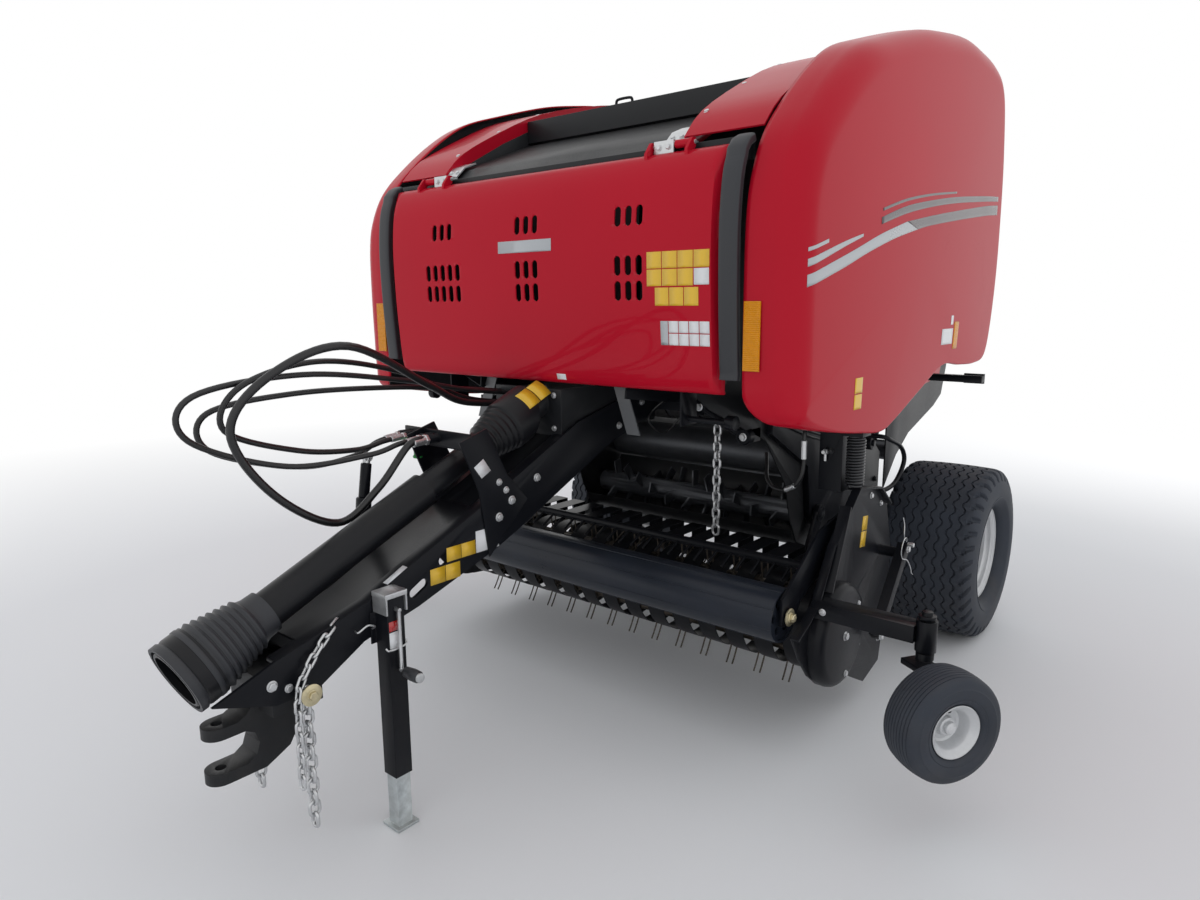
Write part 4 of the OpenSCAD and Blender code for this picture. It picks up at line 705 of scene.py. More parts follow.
skin = shield_grid()
skin_rows, skin_cols = skin.shape[:2]
skin_points = np.vstack([skin.reshape(-1, 3), [[shield_x + shield_dome, *shield_mid]]])
skin_points[:, 2] = np.minimum(skin_points[:, 2], cad_box[1][2] / MM - 0.3)
skin_quads = facing(skin_points, grid_faces(skin_rows, skin_cols, True), OUT)
corners = skin_points[skin_quads]
skin_middles = corners.mean(axis=1)
skin_normals = unit(np.cross(corners[:, 2] - corners[:, 0], corners[:, 3] - corners[:, 1]))
rim_loop = np.arange(skin_rows) * skin_cols + skin_cols - 1
fan = np.column_stack([rim_loop, np.roll(rim_loop, -1), np.full(skin_rows, len(skin_points) - 1)])
shield_skin = (skin_points, skin_quads.tolist() + facing(skin_points, fan, OUT).tolist())


def thicken(piece, thickness):
    """A Solidify modifier that grows the wall inwards, in mm."""
    wall = piece.modifiers.new("wall", "SOLIDIFY")
    wall.thickness = thickness * MM
    wall.offset = -1.0
    return wall


shield_tabs = [block((941, y - 25, 2771), (975, y + 25, 2817)) for y in (-450, -300)]
for side in "lr":
    shield = on_side(side, "side_shield", [shield_skin], "red_paint", "shield", 60, "shield")
    shield.data.materials.append(looks["liner_plastic"])
    thicken(shield, sheet_wall).material_offset = 1
    on_side(side, "shield_tabs", shield_tabs, "red_paint", "shield")
print("shield grid", skin_rows, "by", skin_cols)


def on_shield(yz, lift):
    """The shield's x at [y, z] points: from the nearest face's middle along its plane, plus a lift."""
    yz = np.asarray(yz, float)
    near = ((yz[:, None] - skin_middles[None, :, 1:]) ** 2).sum(-1)
    near += 1e9 * (skin_normals[:, 0] < film_facing)
    k = near.argmin(axis=1)
    step = yz - skin_middles[k, 1:]
    x = skin_middles[k, 0] - (step * skin_normals[k, 1:]).sum(1) / skin_normals[k, 0]
    return np.column_stack([x + lift, yz])

# %% [markdown]
# ## Hood
# The hood is one sheet with rolled curvature and rows of oval vents. A flat sheet with
# slots is cut first, in the plane of its width and its arc length, by a constrained
# triangulation. Then the whole sheet is bent over the side profile in one step.

# %% Hood sheet
hood_half_w, hood_corner, slot_clear = 855.0, 22.0, 6.0
hood_points = [[-1950, 1403], [-2002, 1415], [-2024, 1600], [-2034, 1800], [-2034, 1960], [-2018, 2100],
               [-1984, 2177], [-1950, 2197]]
hood_profile = spline(hood_points, 16)
hood_run = run_of(hood_profile)
# Vent groups: middle x, middle z, slots across, rows
vent_groups = [(495, 1994, 3, 1), (0, 1994, 3, 1), (-495, 1994, 3, 1), (495, 1785, 3, 2), (0, 1785, 3, 2),
               (-495, 1785, 5, 2)]
vent_w, vent_h, vent_pitch, vent_row = 29.0, 68.0, 47.0, 86.0


def run_at(z):
    """Arc length along the hood's profile at a height."""
    return np.interp(z, hood_profile[:, 1], hood_run)


def bend(xs, lift=0.0):
    """Points (x, arc length) of the flat sheet laid on the side profile, lifted square to it."""
    way = unit(np.gradient(hood_profile, axis=0))
    columns = np.hstack([hood_profile, way]).T
    y, z, way_y, way_z = (np.interp(xs[:, 1], hood_run, column) for column in columns)
    return np.column_stack([xs[:, 0], y - lift * way_z, z + lift * way_y])


def oval(x, z, steps=20):
    """A slot's outline: two half circles joined by straight sides."""
    a = np.linspace(0, TURN, steps, endpoint=False) + np.pi / steps
    straight = (vent_h - vent_w) / 2 * np.sign(np.sin(a))
    return np.column_stack([x + vent_w / 2 * np.cos(a), run_at(z) + vent_w / 2 * np.sin(a) + straight])


def rounded_border(half_w, length, radius):
    """The sheet's outline: a quarter circle at each corner, one after the other."""
    quarter = np.linspace(0, np.pi / 2, 7)
    x, top = half_w - radius, length - radius
    return np.vstack([np.column_stack([cx + radius * np.cos(quarter + q * np.pi / 2),
                                       cs + radius * np.sin(quarter + q * np.pi / 2)])
                      for q, (cx, cs) in enumerate([(x, top), (-x, top), (-x, radius), (x, radius)])])


vents = [(x + (i - (n - 1) / 2) * vent_pitch, z + (r - (rows - 1) / 2) * vent_row)
         for x, z, n, rows in vent_groups for i in range(n) for r in range(rows)]
grid_x, grid_s = np.meshgrid(np.arange(-830, 831, 20), np.arange(14, hood_run[-1] - 10, 14), indexing="ij")
inner = np.column_stack([grid_x.ravel(), grid_s.ravel()])
centres = np.array([[x, run_at(z)] for x, z in vents])


def in_slot(points, margin):
    """Whether each point is nearer to a slot's middle line than the slot's radius and the margin together."""
    gap = np.abs(points[:, None] - centres[None])
    gap[..., 1] = np.clip(gap[..., 1] - (vent_h - vent_w) / 2, 0, None)
    return (np.linalg.norm(gap, axis=-1) < vent_w / 2 + margin).any(axis=1)


loops = [rounded_border(hood_half_w, hood_run[-1], hood_corner)] + [oval(x, z) for x, z in vents]
flat_points = np.vstack(loops + [inner[~in_slot(inner, slot_clear)]])
starts = np.cumsum([0] + [len(loop) for loop in loops])
rims = []
for start, loop in zip(starts.tolist(), loops):
    count = len(loop)
    rims += [(start + i, start + (i + 1) % count) for i in range(count)]
cut = delaunay_2d_cdt([Vector(p) for p in flat_points.tolist()], rims, [], 0, 1e-5)
sheet_points = np.array([tuple(p) for p in cut[0]])
sheet_faces = np.array([list(f) for f in cut[2]])
sheet_faces = sheet_faces[~in_slot(sheet_points[sheet_faces].mean(axis=1), -1.0)]
hood_sheet = bend(sheet_points)
hood = fit("hood_sheet", [(hood_sheet, facing(hood_sheet, sheet_faces, FRONT))], "red_paint", "hood", 50)
thicken(hood, sheet_wall)
rolled = hood.modifiers.new("rolled_edge", "BEVEL")
rolled.width, rolled.segments, rolled.limit_method = 1.8 * MM, 2, "ANGLE"
rolled.angle_limit = math.radians(50)
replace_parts(hood, "hood")
ear = [[-1984, 2173], [-1950, 2191], [-1935, 2208], [-1935, 2235], [-1954, 2235], [-1984, 2197]]
ear_pin = rod([628, -1940, 2222], [689, -1940, 2222], 14, 20)
hood_ears = [prism(ear, x, x + 12) for x in (527, 691)] + [ear_pin]
fit("hood_ears", hood_ears, "red_paint", "hood", both=True)
print("hood sheet triangles", len(sheet_faces), "vents", len(vents))

# %% [markdown]
# ## Rubber strips beside the hood
# A soft black strip closes the gap between hood and shield. Its front bulges, so it is a
# rounded section carried along the hood's side profile.

# %% Edge strips
beside_hood = (hood_profile[:, 1] > 1470) & (hood_profile[:, 1] < 2150)
strip_line = np.vstack([[-2016, 1452], hood_profile[beside_hood], [-1996, 2172], [-1972, 2200],
                        [-1944, 2214]])
strip_x, strip_half, strip_deep, strip_bulge = 894.5, 34.5, 24.0, 9.0


def strip_rings():
    """At each point of the line, the section stands square to it: across X, and outwards from the hood."""
    a = np.linspace(0, TURN, 28, endpoint=False)
    across = strip_x + np.sign(np.cos(a)) * np.abs(np.cos(a)) ** 0.55 * strip_half
    out_by = np.where(np.sin(a) > 0, strip_bulge * np.abs(np.sin(a)) ** 0.8,
                      -strip_deep * np.abs(np.sin(a)) ** 0.3)
    way = unit(np.gradient(strip_line, axis=0))
    out = np.column_stack([-way[:, 1], way[:, 0]])
    yz = strip_line[:, None] + out[:, None] * out_by[None, :, None]
    return np.dstack([np.broadcast_to(across, yz.shape[:2]), yz])


strips = fit("rubber_strips", [capped(strip_rings())], "strip_rubber", "frame", 50, both=True)
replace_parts(strips, "edge_strips")
print("strip sections", len(strip_line))

# %% [markdown]
# ## Lift springs
# The pickup hangs on two helical springs. A helix is a circle whose height grows with its
# angle. The springs cross the joint between the frame and the pickup; they are fixed
# in place and ride with neither body.

# %% Springs
spring_turns, spring_radius, spring_wire = 16, 31.5, 11.0
spring_x, spring_y, spring_low, spring_high = 1035.0, -1286.0, 998.0, 1182.0
a = np.linspace(0, TURN * spring_turns, spring_turns * 18 + 1)
coil = np.column_stack([spring_x + spring_radius * np.cos(a), spring_y + spring_radius * np.sin(a),
                        spring_low + (spring_high - spring_low) * a / a[-1]])
seat = [(0, 26), (3, 30), (9, 30), (12, 26)]
seats = [boss(seat, (spring_x, spring_y, z), UP) for z in (1180, 988)]
coils = [tube_mesh(coil, spring_wire / 2, 8, up=UP)]
springs = fit("lift_spring_coils", coils + seats, "spring_paint", None, 50, both=True)
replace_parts(springs, "lift_springs")
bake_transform(springs)
print("spring turns", spring_turns)

# %% [markdown]
# ## Bolts
# Bolt heads are what gives a machine its scale. A head is a profile turned in six steps, on
# a washer turned in twenty. Short tables give each bolt's place, direction and size.


# %% Bolt heads
def bolt(x, y, z, way, size):
    """A washer and a hexagon head with a chamfered top, on a face at (x, y, z) that looks along way."""
    washer = boss([(0, size * 0.70), (2, size * 0.70), (2.4, size * 0.66)], (x, y, z), way, 20)
    head = [(2.4, size * 0.56), (size * 0.38, size * 0.56), (size * 0.46, size * 0.48)]
    return [washer, boss(head, (x, y, z), way, 6, size * 0.02)]


def bolts(name, look, body, rows):
    """Bolts at rows of (x, y, z, way, size), and their mirror images on the other side."""
    fit(name, [part for row in rows for part in bolt(*row)], look, body, 30, both=True)


arch_way = (0, -0.47, 0.88)
bolts("drawbar_bolts", "zinc_plate", "frame", [
    (148, -2343, 1069, OUT, 19), (148, -2310, 1034, OUT, 19), (148, -2283, 991, OUT, 24),
    (148, -2348, 940, OUT, 24), (140, -2141, 1050, OUT, 24), (140, -1640, 1190, OUT, 22),
    (140, -1480, 1275, OUT, 22), (140, -3240, 625, OUT, 24), (140, -3190, 600, OUT, 19)])
bolts("panel_bolts", "zinc_plate", "frame", [
    (650, -1789, 2346, arch_way, 17), (650, -1539, 2481, arch_way, 17),
    (650, -1278, 2596, (0, -0.4, 0.92), 17), (880, -1700, 2394, arch_way, 13),
    (880, -1100, 2646, (0, -0.3, 0.95), 13)])
bolts("frame_bolts", "black_bolt", "frame", [
    (656, -700, 1180, OUT, 22), (656, -1120, 1240, OUT, 22), (656, -420, 820, OUT, 24),
    (656, -200, 620, OUT, 24), (656, 20, 540, OUT, 26), (656, -80, 760, OUT, 24),
    (939, -1300, 1235, FRONT, 19), (939, -1300, 1120, FRONT, 17), (520, -1360, 1290, FRONT, 22),
    (200, -1360, 1290, FRONT, 22), (760, -1360, 1262, FRONT, 19), (626, -1600, 1400, OUT, 17),
    (626, -1750, 2050, OUT, 17), (626, -1300, 2350, OUT, 17), (626, -800, 2450, OUT, 17)])
bolts("pickup_bolts", "zinc_plate", "pickup", [
    (1040, -1119, 921, OUT, 19), (1040, -1010, 868, OUT, 17), (1040, -900, 640, OUT, 19),
    (1040, -960, 250, OUT, 19), (1098, -1438, 282, OUT, 19), (1098, -1455, 440, OUT, 26),
    (1098, -1560, 540, OUT, 15), (1098, -1340, 540, OUT, 15), (1040, -1180, 300, OUT, 17),
    (1150, -1225, 378, OUT, 24), (1150, -970, 678, OUT, 22), (1084, -1640, 590, FRONT, 19)])
bolts("gate_bolts", "zinc_plate", "tailgate", [
    (669, 120, 1560, OUT, 17), (669, 400, 1262, OUT, 17), (669, 760, 1300, OUT, 17),
    (669, 850, 1600, OUT, 17), (669, 830, 1860, OUT, 17), (669, 640, 2240, OUT, 17),
    (669, 180, 2420, OUT, 17), (681, -150, 2550, OUT, 30)])
bolts("rear_bolts", "zinc_plate", "tailgate", [
    (560, 977, 1420, BACK, 15), (560, 950, 1250, BACK, 15), (200, 977, 1420, BACK, 15),
    (560, 905, 2085, (0, 0.94, 0.3), 15), (200, 905, 2085, (0, 0.94, 0.3), 15)])
bolts("gearbox_bolts", "zinc_plate", "frame", [
    (90, -1985, 1215, FRONT, 17), (90, -1985, 1345, FRONT, 17)])
roller_cap = boss([(0, 30), (3, 33), (7, 33), (9, 29), (9, 20), (13, 18)], (1004, -1746, 585), OUT, 32)
fit("roller_bolts", [roller_cap] + bolt(1016, -1746, 585, OUT, 28), "yellow_zinc", "windguard", 30, both=True)
chain_cap = boss([(0, 30), (2, 33), (6, 33), (8, 29)], (191, -3150, 580), OUT, 32)
fit("chain_washers", [chain_cap] + bolt(199, -3150, 580, OUT, 26), "yellow_zinc", "frame", 30, both=True)
print("bolts made")

# %% [markdown]
# ## Blank stickers, stripes and reflectors
# Decals are thin film that lies on what carries it. Each patch is a small grid of points:
# on a flat plate it is flat, on the hood it is bent over the same profile, and on the
# side shield its height comes from the shield's own surface. All of them are left blank.

# %% Film patches
film_lift, film_t = 0.9, 0.5


def patch_rows(corners, rows=2, cols=2):
    """A grid between four corners (first edge, then the far edge), blended linearly both ways."""
    p00, p10, p11, p01 = (np.asarray(c, float) for c in corners)
    u = np.linspace(0, 1, rows)[:, None, None]
    v = np.linspace(0, 1, cols)[None, :, None]
    return (1 - u) * ((1 - v) * p00 + v * p10) + u * ((1 - v) * p01 + v * p11)


def film(name, grids, look, body, way):
    """Sheets of film from grids of points, their front turned towards way, given a thickness by Solidify."""
    parts = []
    for grid in grids:
        verts = grid.reshape(-1, 3)
        parts.append((verts, facing(verts, grid_faces(*grid.shape[:2]), way)))
    thicken(fit(name, parts, look, body), film_t)


def hood_patch(x0, x1, z0, z1):
    """A patch on the hood between two widths and two heights."""
    flat = patch_rows(rect(x0, run_at(z0), x1, run_at(z1)), 8, 2)
    return bend(flat.reshape(-1, 2), film_lift).reshape(8, 2, 3)


def hood_cells(x0, z0, wide, high, cols, rows, gap=3.0, skip=()):
    """A block of equal patches with narrow gaps between them."""
    return [hood_patch(x, x + wide, z, z + high)
            for i, x in enumerate(x0 + (wide + gap) * np.arange(cols))
            for k, z in enumerate(z0 + (high + gap) * np.arange(rows)) if (i, k) not in skip]


hood_yellow = hood_cells(577, 1756, 60, 55, 4, 2, skip={(3, 0)}) + hood_cells(610, 1691, 56, 60, 3, 1)
hood_white = (hood_cells(767, 1758, 58, 53, 1, 1) + hood_cells(664, 1559, 38, 39, 4, 2)
              + hood_cells(128, 1413, 46, 22, 1, 1))
hood_films = {"hood_yellow_films": (hood_yellow, "yellow_film"),
              "hood_white_films": (hood_white, "white_film"),
              "hood_grey_films": (hood_cells(630, 1559, 31, 81, 1, 1), "silver_film"),
              "hood_badge_film": ([hood_patch(-150, 135, 1893, 1938)], "silver_film")}
for label, (grids, look) in hood_films.items():
    film(label, grids, look, "hood", FRONT)


def shield_patch(*sides, rows=6, cols=6):
    """A patch on the side shield over the rectangle from (y0, z0) to (y1, z1)."""
    return on_shield(patch_rows(rect(*sides), rows, cols).reshape(-1, 2), film_lift).reshape(rows, cols, 3)


def shield_stripe(low, high, steps=60, cols=4):
    """A ribbon between a lower and an upper edge, both smooth curves through a few [y, z] points."""
    lines = []
    for edge in (low, high):
        curve = spline(edge, 12)
        run = run_of(curve)
        at = np.linspace(0, run[-1], steps)
        lines.append(np.column_stack([np.interp(at, run, column) for column in curve.T]))
    v = np.linspace(0, 1, cols)[None, :, None]
    flat = (1 - v) * lines[0][:, None] + v * lines[1][:, None]
    return on_shield(flat.reshape(-1, 2), film_lift).reshape(steps, cols, 3)


stripes = [shield_stripe([(-1940, 1745), (-1694, 1812), (-1510, 1866), (-1281, 1924), (-1050, 1970)],
                         [(-1940, 1782), (-1812, 1818), (-1618, 1872), (-1404, 1934), (-1162, 1992)]),
           shield_stripe([(-1940, 1806), (-1851, 1832), (-1701, 1877), (-1560, 1916)],
                         [(-1940, 1830), (-1853, 1854), (-1701, 1894), (-1560, 1926)]),
           shield_stripe([(-1940, 1852), (-1880, 1868), (-1820, 1884)],
                         [(-1940, 1864), (-1880, 1880), (-1820, 1896)])]
shades = [shield_stripe([(-1050, 1970), (-906, 1994), (-555, 2039), (-143, 2087), (60, 2105)],
                        [(-1162, 1992), (-884, 2034), (-567, 2077), (-157, 2129), (60, 2150)]),
          shield_stripe([(-1409, 1966), (-1167, 2021), (-891, 2067), (-572, 2108), (-150, 2150), (60, 2168)],
                        [(-1409, 1990), (-1174, 2047), (-899, 2091), (-582, 2132), (-150, 2174), (60, 2190)]),
          shield_stripe([(-1400, 2012), (-1174, 2064), (-899, 2108), (-600, 2144)],
                        [(-1400, 2022), (-1174, 2074), (-899, 2117), (-600, 2152)])]
patch_places = {"yellow_film": [(-1563, 1325, -1498, 1378), (-1563, 1382, -1498, 1437)],
                "white_film": [(-660, 1512, -515, 1580), (-552, 1596, -520, 1636)],
                "amber": [(-500, 1488, -438, 1608)]}
shield_films = {f"shield_{look.split('_')[0]}_films": ([shield_patch(*place) for place in places], look)
                for look, places in patch_places.items()}
plates = {"shield_stripes": (stripes, "silver_film"), "shield_shades": (shades, "grey_film"), **shield_films}
for label, (grids, look) in plates.items():
    film(label + "_l", grids, look, "shield_l", OUT)
    film(label + "_r", [g * [-1, 1, 1] for g in grids], look, "shield_r", (-1, 0, 0))


def side_patch(x, corners):
    """A flat patch on an upright plate at x."""
    return np.dstack([np.full((2, 2), x + film_lift), patch_rows(corners)])


def cells(y0, z0, wide, high, count):
    """A row of equal patches on the drawbar's side, 2 mm apart."""
    return [side_patch(140, rect(y, z0, y + wide, z0 + high)) for y in y0 + (wide + 2) * np.arange(count)]


drawbar_yellow = cells(-2661, 764, 64, 56, 2) + cells(-2588, 829, 64, 50, 2)
tilted = side_patch(148, [(-2459, 1140), (-2425, 1096), (-2381, 1118), (-2415, 1165)])
upright = [side_patch(1040, [(-1213, 722), (-1160, 716), (-1150, 780), (-1203, 786)]),
           side_patch(1040, [(-1202, 790), (-1149, 784), (-1140, 842), (-1193, 848)])]
jack_spans = ((690, -2840, 722), (628, -2840, 686))
jack_red, jack_white = (side_patch(210, rect(-2884, *span)) for span in jack_spans)
top_corners = [[(x, *yz) for x in (112.0, 138.0)] for yz in ((-2830, 816.5), (-2750, 854))]
flat_films = {"drawbar_yellow_films": (drawbar_yellow, "yellow_film", "frame", OUT),
              "drawbar_white_films": (cells(-2455, 829, 110, 79, 1) + [tilted], "white_film", "frame", OUT),
              "drawbar_top_film": ([np.array(top_corners)], "white_film", "frame", UP),
              "jack_red_film": ([jack_red], "red_lamp", "frame", OUT),
              "jack_white_film": ([jack_white], "white_film", "frame", OUT),
              "upright_yellow_films": (upright, "yellow_film", "pickup", OUT)}
for label, row in flat_films.items():
    film(label, *row)
print("blank film pieces", len(hood_films) + 2 * len(plates) + len(flat_films))

# %% [markdown]
# ## Drive shaft label, lenses and the shaft's cone
# The label on the shaft's guard is bent round it. Reflectors are moulded lenses with rows
# of small prisms, so the CAD's plain block gets a face of ridges. The rear lamps are a
# housing with two turned lenses, and the cone is a turned outline with eight folds.

# %% Shaft label, lenses and cone
shaft_front, shaft_rear = np.array([0, -3388.6, 700.0]), np.array([0, -2090.0, 1270.0])
shaft_way = unit(shaft_rear - shaft_front)
shaft_side = np.array([1.0, 0, 0])
shaft_up = np.cross(shaft_side, shaft_way)
shaft_len = float(np.linalg.norm(shaft_rear - shaft_front))


def round_patch(start, length, radius, angle, sweep):
    """A patch on a round guard: start and length along the shaft, angle and sweep in degrees round it."""
    s = np.linspace(start, start + length, 2)[:, None, None]
    a = np.radians(np.linspace(angle, angle + sweep, 10))[None, :, None]
    return shaft_front + s * shaft_way + radius * (np.cos(a) * shaft_side + np.sin(a) * shaft_up)


label_start, label_length, guard_radius = shaft_len - 12, 62, 100
labels = [round_patch(label_start + k * (label_length + 4), label_length, guard_radius + film_lift, 26, 46)
          for k in (0, 1)]
film("guard_yellow_films", labels, "yellow_film", "frame", shaft_side + shaft_up)


def ribbed_lens(low, high, ridges):
    """A lens whose front is a row of ridges 2 mm deep: a zigzag of the height."""
    (x0, y0, z0), (x1, y1, z1) = low, high
    z = np.linspace(z0, z1, 2 * ridges + 1)
    front = y0 + np.where(np.arange(len(z)) % 2, 0.0, 2.0)
    return prism(np.vstack([np.column_stack([front, z]), [[y1, z1], [y1, z0]]]), x0, x1)


lens = ribbed_lens((945, -2018.4, 1485), (1003, -2012.6, 1704), 36)
for side in "lr":
    on_side(side, "reflector_lens", [lens], "amber", "shield", 20, "reflectors")
housing = block((1056, -22, 1294), (1150, -6, 1342))
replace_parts(fit("lamp_housings", [housing], "strip_rubber", "frame", both=True), "lamps")
for label, x, look in (("lamp_lenses_red", 1080, "red_lamp"), ("lamp_lenses_amber", 1126, "amber")):
    fit(label, [boss([(0, 19), (5, 17), (8, 11)], (x, -6, 1318), BACK, tip=1)], look, "frame", both=True)
cone_mouth = [(0, 84), (0, 92), (3, 95), (20, 95), (24, 104), (30, 112), (36, 114), (62, 114), (66, 110),
              (70, 114), (88, 114)]
cone_neck = [(256, 70), (262, 68), (300, 66), (300, 56), (262, 56), (240, 64), (92, 92), (36, 106), (20, 88),
             (0, 84)]
folds = []
for k in range(8):
    top = 113 - 34 * (k + 1) / 8
    folds += [(92 + 20 * k, top - 9), (97 + 20 * k, top), (105 + 20 * k, top - 1)]
cone = turned(cone_mouth + folds + cone_neck, shaft_front - 60 * shaft_way, shaft_way, 96)
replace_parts(fit("shaft_cone", [cone], "guard_plastic", "frame", 35), "shaft_cones")
print("shaft label starts at", round(label_start))

# %% [markdown]
# ## Pickup reel
# Behind the curved bands turn five bars, each with pairs of spring tines. A tine is one
# wire: a few coils round its bar, then a straight run with a slightly trailing tip. The
# crop roller in front of the reel gets eight low ridges along its length.

# %% Tines, bars and star plates
reel_y, reel_z, reel_half, bar_count = -1356.0, 425.0, 1040, 5
bar_r, tine_r, tine_d, tine_pitch, tine_places = 130.0, 265.0, 7.0, 132.0, 14
roller_middle, roller_r, ridge_count = np.array([-1746, 585]), 100, 8
tine_run = np.linspace(0, 1, 7)
tine_line = np.column_stack([np.zeros(7), -(bar_r + (tine_r - bar_r - 2) * tine_run), 20 * tine_run ** 2])
coil_turn = np.linspace(0, TURN * 3, 31)
coil_line = np.column_stack([-6 + 12 * coil_turn / coil_turn[-1], -bar_r + 20 * np.cos(coil_turn),
                             20 * np.sin(coil_turn)])
one_tine = joined([tube_mesh(line + [dx, 0, 0], tine_d / 2, sides, up=OUT)
                   for line, sides in ((tine_line, 6), (coil_line, 5)) for dx in (-14, 14)])
bar_line = np.array([[-1023, -bar_r, 0], [1023, -bar_r, 0]])
reel_parts = [rod([-reel_half, reel_y, reel_z], [reel_half, reel_y, reel_z], 30, 40)]
for a in TURN * np.arange(bar_count) / bar_count:
    swing = np.array([[1, 0, 0], [0, math.cos(a), math.sin(a)], [0, -math.sin(a), math.cos(a)]])
    reel_parts.append(rod(*(bar_line @ swing + [0, reel_y, reel_z]), 15, 16))
    for i in range(tine_places):
        shift = [(i - (tine_places - 1) / 2) * tine_pitch, reel_y, reel_z]
        reel_parts.append((one_tine[0] @ swing + shift, one_tine[1]))
star = [(reel_y + r * math.cos(t) - w * math.sin(t), reel_z + r * math.sin(t) + w * math.cos(t))
        for t in math.pi - TURN * np.arange(bar_count) / bar_count
        for r, w in ((44, 26), (152, 22), (152, -22), (44, -26))]
star_plate = prism(star, 985, 995)
reel_parts += [star_plate] + flipped([star_plate])
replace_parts(fit("tine_reel", reel_parts, "spring_steel", "pickup_reel", 45), "pickup_reel")
roller_ridges = []
for a in TURN * (np.arange(ridge_count) + 0.35) / ridge_count:
    side, out = np.array([-math.sin(a), math.cos(a)]), np.array([math.cos(a), math.sin(a)])
    mid = roller_middle + roller_r * out
    section = [mid + w * side + h * out for w, h in ((-3, -1), (3, -1), (1.5, 2), (-1.5, 2))]
    roller_ridges.append(prism(section, -984, 984))
# the ridges share the crop roller's black with its painted sky reflection
fit("roller_ridges", roller_ridges, "slate_paint", "crop_roller")
print("tines", 2 * bar_count * tine_places)

# %% [markdown]
# ## Pipes, handles and small fittings
# Steel pipes carry oil along the frame, a bent handle helps to climb, and the hoses end
# in plated ferrules. What is bent is a round section swept along a short smooth path, what
# is straight is a rod, and the small plates are outlines carried along X.

# %% Pipes and handles
handle = pipe([(650, -600, 1078), (780, -598, 1078), (880, -588, 1076), (900, -540, 1055), (902, -440, 1020),
               (902, -375, 975), (902, -360, 925), (902, -420, 865), (900, -500, 830), (880, -600, 821),
               (780, -618, 820), (650, -620, 820)], 11, 10, 14)
top_handle = pipe([(-102, -1350, 2546), (-100, -1350, 2566), (-92, -1350, 2574), (-60, -1350, 2576),
                   (-24, -1350, 2574), (-14, -1350, 2566), (-12, -1350, 2546)], 6, 8, 10)
fit("climb_handles", [handle, *flipped([handle]), top_handle], "black_paint", "frame")
steel_pipes = [pipe([(664, -1340, 1262), (664, -1180, 1215), (664, -900, 1120), (664, -640, 1060),
                     (672, -480, 1030), (690, -400, 1012)], 5, 8, 8),
               pipe([(664, -1340, 1240), (664, -1180, 1192), (664, -900, 1096), (664, -640, 1040),
                     (672, -500, 1005), (684, -420, 985)], 5, 8, 8)]
loop = pipe([(862, -1352, 1222), (862, -1376, 1200), (863, -1380, 1150), (864, -1380, 1070),
             (850, -1380, 1005), (800, -1376, 958), (735, -1370, 955), (690, -1350, 985), (665, -1310, 1040),
             (652, -1290, 1080)], 8, 8, 12)
thin_line = pipe([(240, -1372, 1290), (238, -1480, 1270), (236, -1560, 1220), (236, -1500, 1160),
                  (240, -1420, 1150), (300, -1372, 1240)], 4, 8, 8)
fit("oil_pipes", [*steel_pipes, *flipped(steel_pipes), loop, thin_line], "hose_rubber", "frame")
sleeves = [rod([862, -1380, 1165], [863, -1380, 1090], 11, 16),
           rod([828, -1378, 977], [785, -1375, 954], 11, 16),
           rod([862, -1352, 1228], [862, -1374, 1206], 12, 6),
           rod([922, -1300, 1118], [922, -1322, 1118], 12, 6),
           rod([922, -1322, 1118], [922, -1336, 1118], 8, 16),
           rod([922, -1312, 1110], [922, -1312, 1080], 6, 12)]
fit("pipe_fittings", sleeves, "zinc_plate", "frame", sharp=30)
arm_a, arm_b = np.array([398.0, -1398, 1266]), np.array([612.0, -1398, 1158])
arm = [rod(arm_a, arm_b, 21, 24), rod(arm_a - [0, 22, 0], arm_a + [0, 22, 0], 31, 28),
       rod(arm_b - [0, 22, 0], arm_b + [0, 22, 0], 34, 28), block((386, -1420, 1232), (410, -1362, 1296)),
       block((596, -1392, 1130), (626, -1300, 1186))]
fit("linkage_arm", arm, "black_paint", "frame", sharp=35, both=True)
strap = prism([[-1902, 1386], [-1896, 1386], [-1896, 1210], [-1902, 1210]], -30, 30)
strap = (np.column_stack([strap[0][:, 0] + 355 + (1386 - strap[0][:, 2]) * 0.36, strap[0][:, 1:]]), strap[1])
# A thin dark wall behind the feed rotor: a painted shade sheet that covers the gap where pale floor showed,
# standing for the shade inside the machine.
wall = [[-714, 688], [-706, 740], [-692, 795], [-668, 836], [-664, 834], [-688, 793], [-702, 739],
        [-710, 687]]
fit("hood_latch_straps", [strap], "grey_sheet", "frame", both=True)
fit("rotor_shade_wall", [prism(wall, -617, 617)], "dark_steel", "frame")
bolts("linkage_bolts", "zinc_plate", "frame", [
    (398, -1420, 1266, FRONT, 26), (612, -1420, 1158, FRONT, 24)])
bracket = [prism([[-1952, 2196], [-1947, 2196], [-1947, 2232], [-1894, 2232], [-1844, 2278], [-1780, 2303],
                  [-1782, 2308], [-1847, 2283], [-1896, 2237], [-1952, 2237]], 545, 625)]
fit("hinge_brackets", bracket, "zinc_plate", "frame", both=True)
slope_way = (0, -0.68, 0.73)
bolts("bracket_bolts", "zinc_plate", "frame", [
    (566, -1871, 2259, slope_way, 15), (604, -1871, 2259, slope_way, 15), (566, -1952, 2216, FRONT, 15),
    (604, -1952, 2216, FRONT, 15)])
lanyard = pipe([(1150, -990, 716), (1160, -1020, 740), (1164, -1062, 742), (1162, -1080, 700),
                (1158, -1052, 660), (1160, -1000, 640), (1162, -960, 600), (1158, -930, 566),
                (1156, -905, 552)], 2.2, 8, 8)
pin_ring = pipe([(1152, -1052, 832), (1156, -1044, 800), (1158, -1046, 760), (1150, -1010, 726)], 2.2, 8, 8)


